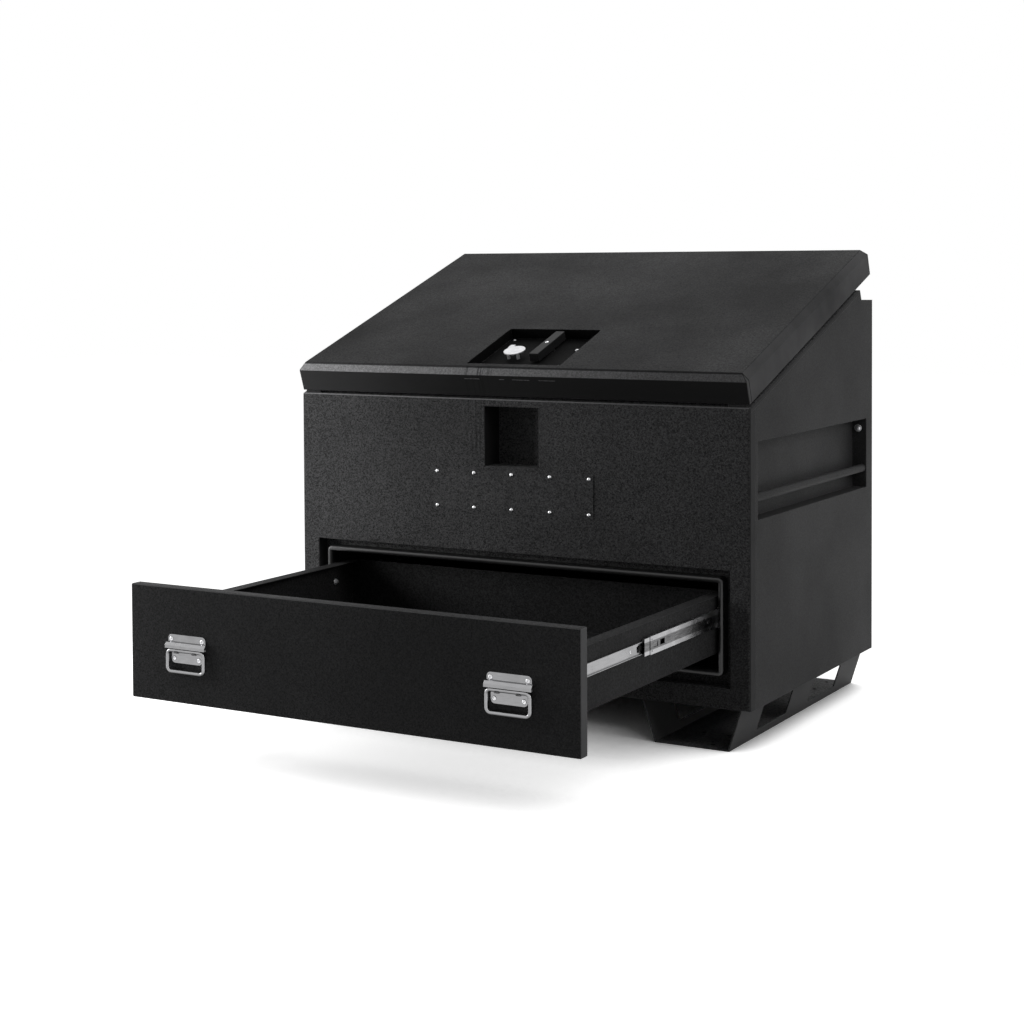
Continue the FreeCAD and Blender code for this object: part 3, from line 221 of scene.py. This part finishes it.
def powder_coat(name, dark, light, grain, relief=0.0004, rough=(0.55, 0.7), edge_wear_and_highlight=0.2, specular=0.08,
                edge=0.0012, cloudy=0.3, side_shading=None, bend_highlight=None, crease_shadow=None, under_shading=False,
                drips=None):
    """Black textured powder coat: speckled peel, faint cloudiness, and edges lightened partly by
    rubbed wear and partly by a painted highlight.

    The speckles lie between the tones dark and light. Edges are broken by the radius edge and
    lightened to the tone edge_wear_and_highlight, which is part wear and part painted highlight.
    Where given, side_shading is the painted tone of the faces to the left and right, set for how
    light falls on them; bend_highlight is the direction of a bend whose faces take a painted
    highlight, with its tones at the left and the right; crease_shadow is how far up the slope a
    painted shadow line lies; under_shading gives faces that look down a plain tone of painted
    shade, lighter at the left and darker to the right; and drips is the stretch across the front
    that has dark runs.
    """
    made = Surface(name)
    fine = made.math("ADD", made.math("MULTIPLY", made.grains(grain), 0.4),
                     made.math("MULTIPLY", made.noise(grain * 0.6, 3.0, 0.6), 0.6))
    peel = made.noise(grain * 0.45)
    clouds = made.noise(2.6, 4.0, 0.6)
    tone = made.mix(made.ranged(fine, 0.25, 0.75), grey(dark), grey(light))
    # Painted light and shade: faces to the left and right take a tone of their own for how light
    # falls on them
    if side_shading:
        tone = made.mix(made.facing(LEFT_RIGHT, 0.5, 0.9, both_ways=True), tone, grey(side_shading))
    tone = made.mix(made.ranged(clouds, 0.38, 0.66, 0.0, cloudy), tone, grey((dark + light) * 0.2))
    # Painted highlight: faces along a bend's direction get a lighter tone, brightest at the left and
    # fading to the right
    if bend_highlight:
        direction, left, right = bend_highlight
        highlight_and_wear = made.mix(made.ranged(made.axis("X"), *BEND_HIGHLIGHT_SPAN), grey(left), grey(right))
        highlight_and_wear = made.mix(made.ranged(fine, 0.3, 0.7, 0.0, 0.45), highlight_and_wear, grey(light * 0.5))
        tone = made.mix(made.facing(direction, 0.9, 0.97), tone, highlight_and_wear)
    # Painted shadow: a dark line along the lid's crease between its top and its bevel
    if crease_shadow:
        off = made.off(made.dot(made.place, tuple(ALONG)), crease_shadow + SLOPE_ORIGIN.dot(ALONG))
        tone = made.mix(made.ranged(off, *CREASE_SHADOW_EDGE, 0.0, 0.85), tone, grey(dark * 0.2))
    # Painted shade: faces that look down take a plain tone, lighter at the left and darker to the
    # right
    if under_shading:
        left, right = UNDER_SHADE_TONES
        plain = made.mix(made.ranged(made.axis("X"), *UNDER_SPAN), grey(left), grey(right))
        tone = made.mix(made.facing(DOWN, 0.1, 0.3), tone, plain)
    if drips:
        share = made.math("MULTIPLY", made.drips(*drips), made.facing(FRONT, 0.9, 0.94))
        tone = made.mix(share, tone, grey(dark * 0.5))
    rounded = None
    # Lighter edges: partly rubbed wear and partly a painted highlight along them
    if edge:
        rounded = made.rounded(edge)
        highlight_and_wear = made.math("MULTIPLY", made.edges(rounded),
                           made.ranged(made.noise(38, 4.0, 0.7), 0.35, 0.65, 0.3))
        tone = made.mix(highlight_and_wear, tone, grey(edge_wear_and_highlight))
    made.fill(made.shader, {"Base Color": tone, "Specular IOR Level": specular,
                            "Roughness": made.ranged(clouds, 0.25, 0.75, *rough)})
    made.bump(made.math("ADD", made.math("MULTIPLY", fine, 0.6), peel), relief, 0.6, rounded)
    return made.material


def plated(name, tone, stretch, rough=(0.18, 0.36), shaded_track=None, painted_shade=None):
    """Bright plated steel with faint drawing lines and dull patches.

    Where given, shaded_track is the height and half width of a track whose dark band is painted
    shade for a recessed channel that the mesh lacks, and painted_shade a direction with the
    painted tone of the faces that point along it.
    """
    made = Surface(name)
    lines = made.noise(1.0, 3.0, 0.6, made.stretched(stretch))
    patches = made.noise(22, 4.0, 0.6)
    tint = made.mix(made.ranged(lines, 0.3, 0.7), grey(tone * 0.8), grey(tone))
    tint = made.mix(made.ranged(patches, 0.45, 0.8, 0, 0.5), tint, grey(tone * 0.62))
    # Painted shade: a dark band along the centre of the track, standing in for a recessed channel
    # the mesh lacks
    if shaded_track:
        middle, half_width = shaded_track
        on_track = made.ranged(made.off(made.axis("Z"), middle), half_width + 0.002, half_width)
        track_shade = made.math("MULTIPLY", on_track, made.ranged(lines, 0.35, 0.6, 0.6, 1.0))
        tint = made.mix(track_shade, tint, grey(tone * 0.12))
    # Painted shade: faces that point along the given direction take a darker tone
    if painted_shade:
        direction, level = painted_shade
        tint = made.mix(made.facing(direction, 0.1, 0.8), tint, grey(level))
    made.fill(made.shader, {"Base Color": tint, "Metallic": 1.0,
                            "Roughness": made.ranged(patches, 0.3, 0.7, *rough)})
    made.bump(lines, 0.00004, 0.5, made.rounded(0.0004))
    return made.material


def moulded(name, dark, light, rough, grain, relief, specular):
    """Black plastic with a dusty bloom between two tones."""
    made = Surface(name)
    fine = made.noise(grain)
    bloom = made.noise(30, 4.0, 0.65)
    made.fill(made.shader, {
        "Base Color": made.mix(made.ranged(bloom, 0.35, 0.75), grey(dark), grey(light)),
        "Roughness": made.ranged(fine, 0.3, 0.7, rough - 0.08, rough + 0.1),
        "Specular IOR Level": specular})
    made.bump(fine, relief, 0.4)
    return made.material


# Height of the slides' middle line, and half height of the track along the middle slide, whose dark
# band is painted shade for its recessed channel
SLIDE_MIDDLE = 0.295
TRACK_HALF = 0.0085
# The coats front, pocket, side, skid, lid, drawer, inside, well, weld and lever are copies of one
# black powder coat; their tones were set part by part to how bright each part looks, so the
# differences between them are painted light and shade
MATERIALS = {
    "front": powder_coat("coat_front", 0.005, 0.165, grain=400, bend_highlight=(BEND, 0.5, 0.3),
                         side_shading=0.045, drips=(-0.125, -0.01)),
    # The pocket's coat is a lighter copy of the front coat, painted light for its lit back wall, and
    # its left and right walls take a darker painted shade
    "pocket": powder_coat("coat_pocket_painted_light", 0.04, 0.28, grain=330, side_shading=0.02),
    "plate": powder_coat("coat_plate", 0.02, 0.17, grain=400, relief=0.0002, edge=None),
    "side": powder_coat("coat_side", 0.025, 0.05, grain=400, relief=0.0002, specular=0.12),
    "skid": powder_coat("coat_skid", 0.06, 0.22, grain=300, relief=0.0002, specular=0.12,
                        side_shading=0.075),
    "lid": powder_coat("coat_lid", 0.0075, 0.0675, grain=380, relief=0.0003, rough=(0.55, 0.75),
                       bend_highlight=(BEVEL, 0.6, 0.2), side_shading=0.16, under_shading=True, cloudy=0.6,
                       crease_shadow=0.0172, drips=(-0.13, -0.02)),
    "drawer": powder_coat("coat_drawer", 0.018, 0.09, grain=400, relief=0.0002,
                          bend_highlight=(BEND, 0.2, 0.2), side_shading=0.2),
    "inside": powder_coat("coat_inside", 0.0175, 0.065, grain=330, relief=0.0003, specular=0.06),
    # The well's coat is the chest's coat made far darker: painted shade for the recess in the lid
    "well": powder_coat("coat_well_painted_shade", 0.001, 0.0075, grain=330, relief=0.0003, specular=0.03),
    "weld": powder_coat("coat_weld", 0.04, 0.2, grain=500, relief=0.0002, specular=0.12),
    "lever": powder_coat("coat_lever", 0.015, 0.03, grain=700, relief=0.0001, rough=(0.35, 0.5)),
    "slide": plated("bright_slide", 0.33, stretch=(900, 30, 900)),
    "runner": plated("runner_track_shade", 0.42, stretch=(900, 30, 900),
                     shaded_track=(SLIDE_MIDDLE, TRACK_HALF)),
    "zinc": plated("zinc", 0.5, stretch=(60, 60, 60), rough=(0.22, 0.42)),
    "bolt": plated("bolt_steel", 0.75, stretch=(300, 300, 300), rough=(0.2, 0.35)),
    # The chrome's faces that look down and forward take a painted shade
    "chrome": plated("bright_chrome", 0.42, stretch=(50, 800, 800), rough=(0.1, 0.22),
                     painted_shade=((0.0, -0.35, -0.94), 0.05)),
    "guard": plated("guard_zinc", 0.7, stretch=(90, 90, 90), rough=(0.45, 0.6)),
    "strut": powder_coat("strut_enamel", 0.004, 0.008, grain=200, relief=0.00005,
                         rough=(0.12, 0.2), specular=0.4),
    # The seal's lighter edge lines are a painted highlight along its bulb
    "rubber": powder_coat("seal_rubber", 0.012, 0.03, grain=500, relief=0.0001, rough=(0.28, 0.4),
                          edge_wear_and_highlight=0.3, specular=0.5, edge=0.0022),
    "plastic": moulded("cage_plastic", 0.002, 0.005, rough=0.45, grain=900, relief=0.0001,
                       specular=0.06),
}
# The looks of the frame's nodes
LOOKS = {
    "front": "front_panel drawer_recess rim_frame",
    "pocket": "front_pocket",
    "skid": "skid_left skid_right",
    "well": "lid_recess_pan",
    "plate": "name_plate",
    "side": "side_panel_left side_panel_right side_pocket_left side_pocket_right "
            "side_bar_left side_bar_right back_panel rear_ledge floor_panel corner_gussets "
            "hinge_leaves_body hinge_leaves_lid",
    "lid": "lid_shell",
    "inside": "chest_deck drawer_bay drawer_tray lid_liner rod_guides lock_keepers "
              "strut_brackets_body strut_brackets_lid",
    "drawer": "drawer_front",
    "lever": "swing_handle",
    "slide": "slide_outer_left slide_outer_right slide_inner_left slide_inner_right",
    "runner": "slide_middle_left slide_middle_right slide_cage_left slide_cage_right",
    "guard": "padlock_guard",
    "zinc": "lock_cam lock_rod_left lock_rod_right",
    "bolt": "slide_outer_screws hinge_pins",
    "chrome": "handle_plates handle_bail_left handle_bail_right strut_rod_left strut_rod_right",
    "strut": "strut_cylinder_left strut_cylinder_right",
    "rubber": "lid_seal drawer_seal",
}
for look, names in LOOKS.items():
    for name in names.split():
        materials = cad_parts[name].data.materials
        materials.clear()
        materials.append(MATERIALS[look])


# Mesh code for the small pieces

SIDES = (("left", -1), ("right", 1))
SHARP_ANGLE = math.radians(35)
# Points of a mesh are one where they agree to this part of a metre
SAME_PLACE = 1e5


def finished(name, shape, look, body, replaced=None):
    """Turn a bmesh into a piece that rides on a body and may stand for a CAD node."""
    bmesh.ops.recalc_face_normals(shape, faces=shape.faces)
    mesh = bpy.data.meshes.new(name)
    shape.to_mesh(mesh)
    shape.free()
    mesh.materials.append(MATERIALS[look])
    mesh.shade_smooth()
    mesh.set_sharp_from_angle(angle=SHARP_ANGLE)
    piece = bpy.data.objects.new(name, mesh)
    bpy.context.scene.collection.objects.link(piece)
    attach(piece, body)
    if replaced:
        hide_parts(replaced)


def standing(place, direction, turn=0.0):
    """The matrix that stands a thing drawn along z on a place, pointing along a direction."""
    aim = Vector(direction).to_track_quat("Z", "Y").to_matrix().to_4x4()
    return Matrix.Translation(place) @ aim @ Matrix.Rotation(turn, 4, "Z")


def skin(shape, loops):
    """Join each ring of points to the next with faces."""
    for low, high in zip(loops, loops[1:]):
        for step in range(len(low)):
            after = (step + 1) % len(low)
            shape.faces.new((low[step], low[after], high[after], high[step]))


def lathe(shape, matrix, profile, segments=24):
    """Skin a row of rings; each is a radius, or a radius by angle, and a height."""
    loops = []
    for radius, height in profile:
        loop = []
        for step in range(segments):
            angle = math.tau * step / segments
            reach = radius(angle) if callable(radius) else radius
            point = Vector((reach * math.cos(angle), reach * math.sin(angle), height))
            loop.append(shape.verts.new(matrix @ point))
        loops.append(loop)
    skin(shape, loops)
    shape.faces.new(list(reversed(loops[0])))
    shape.faces.new(loops[-1])


# Fastener heads

def hexagon(half_width):
    """Radius by angle of a hexagon with the given half width across its flats."""
    part = math.tau / 6
    return lambda angle: half_width / math.cos((angle + part / 2) % part - part / 2)


def hex_socket(radius):
    return hexagon(radius * 0.38)


def cross_socket(radius):
    """Radius by angle of a cross-shaped driver recess."""
    quarter, half_arm = math.pi / 2, 0.3

    def reach(angle):
        off_arm = abs((angle + quarter / 2) % quarter - quarter / 2)
        return radius * 0.5 if off_arm < half_arm else radius * 0.2

    return reach


def slot_socket(radius):
    """Radius by angle of a straight driver slot."""
    return lambda angle: min(radius * 0.6, radius * 0.12 / max(1e-3, abs(math.sin(angle))))


def dome_head(shape, matrix, radius, rise, recess):
    """A domed screw head with a sunk driver recess."""
    foot = [(radius, 0), (radius, rise * 0.2)]
    dome = [(radius * math.cos(lean), rise * (0.2 + 0.8 * math.sin(lean)))
            for lean in (0.3, 0.6, 0.9, 1.15)]
    socket = [(recess(radius), rise * 0.97), (recess(radius * 0.9), rise * 0.35)]
    lathe(shape, matrix, foot + dome + socket)


def hex_head(shape, matrix, radius, rise):
    """A hexagon bolt head on its washer."""
    washer = rise * 0.28
    lathe(shape, matrix, [(radius, 0), (radius, washer * 0.8), (radius * 0.96, washer),
                          (radius * 0.5, washer)])
    flats = radius * 0.66
    lathe(shape, matrix, [(hexagon(flats), washer), (hexagon(flats), rise * 0.86),
                          (hexagon(flats * 0.94), rise * 0.95), (flats * 0.86, rise)])


def domed(radius, rise, recess):
    """A maker of domed heads that are all of one size."""
    return lambda shape, matrix, middle: dome_head(shape, matrix, radius, rise, recess)


def hexed(radius, rise):
    """A maker of hexagon heads that are all of one size."""
    return lambda shape, matrix, middle: hex_head(shape, matrix, radius, rise)


def solids(node):
    """The points of each separate solid of a node."""
    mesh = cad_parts[node].data
    keys = [tuple(round(value * SAME_PLACE) for value in vertex.co) for vertex in mesh.vertices]
    root = {key: key for key in keys}

    def find(key):
        while root[key] != key:
            root[key] = root[root[key]]
            key = root[key]
        return key

    for face in mesh.polygons:
        first = find(keys[face.vertices[0]])
        for index in face.vertices[1:]:
            root[find(keys[index])] = first
    groups = {}
    for key in sorted(set(keys)):
        groups.setdefault(find(key), []).append(Vector(key) / SAME_PLACE)
    return sorted(groups.values(), key=lambda points: tuple(points[0]))


def head_matrix(points, direction, rise, turn):
    """Where a head stands on the plane that the plain head of these points stood on."""
    way = Vector(direction).normalized()
    aside = way.orthogonal().normalized()
    spot = way * (max(point.dot(way) for point in points) - rise)
    for axis in (aside, way.cross(aside)):
        reach = [point.dot(axis) for point in points]
        spot += axis * (min(reach) + max(reach)) / 2
    return standing(spot, way, turn)


def detailed_heads(node, body, direction, plain_rise, make):
    """Detailed heads in place of a node's plain ones, each turned by another angle."""
    turn_apart = 1.7
    shape = bmesh.new()
    for number, points in enumerate(solids(node)):
        middle = sum(points, Vector()) / len(points)
        way = direction(middle) if callable(direction) else direction
        make(shape, head_matrix(points, way, plain_rise, number * turn_apart), middle)
    finished(f"{node}_heads", shape, "bolt", body, node)


def outward(middle):
    return (math.copysign(1, middle.x), 0, 0)


def inward(middle):
    return (0, -math.copysign(1, middle.y), 0)


GRIP_MIDDLE = 0.262
GRIP_SCREW = (0.005, 0.0025)


def grip_screw(shape, matrix, middle):
    """Cross heads in the upper row of a grip's screws, slotted ones in the lower."""
    recess = cross_socket if middle.z > GRIP_MIDDLE else slot_socket
    dome_head(shape, matrix, *GRIP_SCREW, recess)


detailed_heads("name_plate_screws", "chest", FRONT, plain_rise=0.00225,
               make=domed(radius=0.0045, rise=0.00225, recess=hex_socket))
detailed_heads("handle_screws", "drawer", FRONT, plain_rise=0.0025, make=grip_screw)
detailed_heads("pocket_bolts", "chest", inward, plain_rise=0.00375,
               make=hexed(radius=0.0095, rise=0.006))
detailed_heads("recess_bolts", "lid", SQUARE, plain_rise=0.00225,
               make=hexed(radius=0.0055, rise=0.0026))
detailed_heads("handle_bolt", "swing_handle", SQUARE, plain_rise=0.00225,
               make=domed(radius=0.0045, rise=0.00225, recess=hex_socket))
detailed_heads("slide_inner_screws", "drawer", outward, plain_rise=0.0013,
               make=domed(radius=0.004, rise=0.0013, recess=cross_socket))

# Nuts inside the drawer, only on the screws behind this line, as in the photograph
NUTS_BEHIND = -0.5
NUT_RADIUS, NUT_RISE = 0.0078, 0.0055
TRAY_WALL = 0.5108
tray_nuts = bmesh.new()
for points in solids("slide_inner_screws"):
    side = math.copysign(1, points[0].x)
    ends = [point.y for point in points]
    if min(ends) > NUTS_BEHIND:
        place = (side * TRAY_WALL, (min(ends) + max(ends)) / 2, SLIDE_MIDDLE)
        hex_head(tray_nuts, standing(place, (-side, 0, 0)), NUT_RADIUS, NUT_RISE)
finished("slide_nuts", tray_nuts, "guard", "drawer")


# Weld beads under the coat

BEAD_PITCH, BEAD_SEGMENTS = 0.004, 8


def bead(shape, start, end, radius):
    """A straight weld bead with the ripples of its passes and tapered ends."""
    start, end = Vector(start), Vector(end)
    length = (end - start).length
    steps = max(8, round(length / BEAD_PITCH * 3))
    profile = []
    for step in range(steps + 1):
        share = step / steps
        taper = min(1.0, 0.3 + share * length / radius / 2, 0.3 + (1 - share) * length / radius / 2)
        ripple = 0.88 + 0.12 * abs(math.sin(math.pi * share * length / BEAD_PITCH))
        profile.append((radius * taper * ripple, share * length))
    lathe(shape, standing(start, end - start), profile, BEAD_SEGMENTS)


# Stitches along the lid's front, by their ends across it, placed by the slope's directions
STITCHES = ((-0.122, -0.076), (-0.027, -0.009), (0.008, 0.058), (0.078, 0.126))
STITCH_LINE, STITCH_HEIGHT, STITCH_RADIUS = 0.0054, 0.0495, 0.0019
stitches = bmesh.new()
for ends in STITCHES:
    first, last = (on_slope(x, STITCH_LINE, STITCH_HEIGHT) for x in ends)
    bead(stitches, first, last, STITCH_RADIUS)
finished("lid_stitch_welds", stitches, "weld", "lid")

# Short beads where the skids meet the chest
SKID_BEAD_STARTS, SKID_BEAD_LENGTH = (-0.36, -0.2, -0.04, 0.12, 0.28), 0.06
SKID_BEAD_HEIGHT, SKID_BEAD_RADIUS = 0.094, 0.0025
skid_beads = bmesh.new()
for side_name, side in SIDES:
    box_low, box_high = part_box(f"skid_{side_name}")
    for x in (box_low[0], box_high[0]):
        for start in SKID_BEAD_STARTS:
            bead(skid_beads, (x, start, SKID_BEAD_HEIGHT),
                 (x, start + SKID_BEAD_LENGTH, SKID_BEAD_HEIGHT), SKID_BEAD_RADIUS)
finished("skid_welds", skid_beads, "weld", "chest")

# Upright beads in the back corners of the front pocket
POCKET_BEAD_X, POCKET_BEAD_Y, POCKET_BEAD_RADIUS = 0.0725, -0.3305, 0.0016
POCKET_BEAD_LOW, POCKET_BEAD_HIGH = 0.607, 0.742
pocket_bead = bmesh.new()
for x in (-POCKET_BEAD_X, POCKET_BEAD_X):
    bead(pocket_bead, (x, POCKET_BEAD_Y, POCKET_BEAD_LOW), (x, POCKET_BEAD_Y, POCKET_BEAD_HIGH),
         POCKET_BEAD_RADIUS)
finished("pocket_welds", pocket_bead, "weld", "chest")


# Slides: release levers and the balls of the cages

# The lever's hooked outline, as places along the drawer and heights off the slides' middle
LEVER_OUTLINE = ((-0.785, 0.004), (-0.774, 0.0075), (-0.767, 0.004), (-0.7595, 0.0075),
                 (-0.7525, 0.0035), (-0.7545, -0.001), (-0.7615, 0.0005), (-0.7675, -0.0055),
                 (-0.776, -0.0035), (-0.784, -0.0075))
LEVER_SINK, LEVER_FACES, LEVER_ROUND = 0.0034, (-0.0002, 0.0018), 0.0003
BALL_PLACES = [0.004 + 0.013 * step for step in range(5)]
BALL_RADIUS, BALL_ROW = 0.0019, 0.014


def slide_lever(side_name, side):
    """The small black lever on the inner channel that lets the drawer off its slides."""
    low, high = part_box(f"slide_inner_{side_name}")
    face = (low[0] if side < 0 else high[0]) - side * LEVER_SINK
    shape = bmesh.new()
    loops = [[shape.verts.new((face + side * out, y, SLIDE_MIDDLE + z)) for y, z in LEVER_OUTLINE]
             for out in LEVER_FACES]
    skin(shape, loops)
    shape.faces.new(loops[0])
    shape.faces.new(loops[1])
    bmesh.ops.bevel(shape, geom=shape.edges[:], offset=LEVER_ROUND, segments=2, affect="EDGES",
                    profile=0.5)
    finished(f"slide_lever_{side_name}", shape, "plastic", "drawer")


def cage_balls(side_name):
    """The balls that a cage holds, in a row above and a row below the slide's middle."""
    low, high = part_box(f"slide_cage_{side_name}")
    shape = bmesh.new()
    for along in BALL_PLACES:
        for way in (-1, 1):
            place = Vector(((low[0] + high[0]) / 2, low[1] + along, SLIDE_MIDDLE + way * BALL_ROW))
            bmesh.ops.create_uvsphere(shape, u_segments=12, v_segments=8, radius=BALL_RADIUS,
                                      matrix=Matrix.Translation(place))
    finished(f"slide_balls_{side_name}", shape, "bolt", f"slide_cage_{side_name}")


for side_name, side in SIDES:
    slide_lever(side_name, side)
    cage_balls(side_name)


# Floor, light and background

FLOOR_REACH, FLOOR_TONE = 14, 0.35
SHADE_DISTANCE, SHADE_RANGE = 0.3, (0.22, 0.6)
WHITE = (1, 1, 1, 1)


def make_floor():
    """A pale floor that is white to the camera, apart from the object's shadow."""
    corners = [(x * FLOOR_REACH, y * FLOOR_REACH, 0)
               for x, y in ((-1, -1), (1, -1), (1, 1), (-1, 1))]
    mesh = bpy.data.meshes.new("floor")
    mesh.from_pydata(corners, [], [(0, 1, 2, 3)])
    floor = bpy.data.objects.new("floor", mesh)
    bpy.context.scene.collection.objects.link(floor)
    material = bpy.data.materials.new("floor")
    made = Nodes(material)
    plain = made.tree.nodes["Principled BSDF"]
    made.fill(plain, {"Base Color": (FLOOR_TONE, FLOOR_TONE, FLOOR_TONE, 1), "Roughness": 0.9,
                      "Specular IOR Level": 0.0})
    white = made.add("ShaderNodeBsdfDiffuse", {"Color": WHITE})
    # The glow dims where ambient occlusion finds the chest close by, which paints the shadow under
    # it; the white diffuse part carries the lamps' own shadow
    open_sky = made.add("ShaderNodeAmbientOcclusion", {"Distance": SHADE_DISTANCE}, samples=16)
    share = made.ranged(open_sky.outputs["AO"], *SHADE_RANGE)
    glow = made.add("ShaderNodeEmission", {"Strength": share})
    lit = made.add("ShaderNodeAddShader", {0: white.outputs[0], 1: glow.outputs[0]})
    choice = made.add("ShaderNodeMixShader", {0: made.showing(), 1: plain.outputs[0],
                                              2: lit.outputs[0]})
    made.fill(made.tree.nodes["Material Output"], {"Surface": choice.outputs[0]})
    mesh.materials.append(material)


def make_world():
    """A faint even light, which is white where it is seen or mirrored."""
    light_strength, seen_strength = 0.03, 1.0
    world = bpy.data.worlds.new("world")
    made = Nodes(world)
    strength = made.ranged(made.showing(), 0.0, 1.0, light_strength, seen_strength)
    made.fill(made.tree.nodes["Background"], {"Color": WHITE, "Strength": strength})
    bpy.context.scene.world = world


def lamp(name, place, target, size, power):
    """A square lamp that points from its place to a target."""
    data = bpy.data.lights.new(name, "AREA")
    data.shape = "SQUARE"
    data.size = size
    data.energy = power
    obj = bpy.data.objects.new(name, data)
    obj.location = place
    aim = Vector(target) - Vector(place)
    obj.rotation_euler = aim.to_track_quat("-Z", "Y").to_euler()
    bpy.context.scene.collection.objects.link(obj)


make_floor()
make_world()
lamp("near", place=(-1.7, -1.15, 0.7), target=(-0.3, -0.4, 0.5), size=0.8, power=12)
lamp("key", place=(-2.6, -1.5, 1.3), target=(-0.3, -0.4, 0.6), size=1.2, power=15)
lamp("top", place=(0.0, 0.6, 3.4), target=(0.0, 0.0, 0.8), size=1.6, power=21)
lamp("fill", place=(4.1, -0.7, 2.8), target=(0.2, -0.2, 0.5), size=2.0, power=36)
bpy.context.scene.view_settings.view_transform = "Standard"
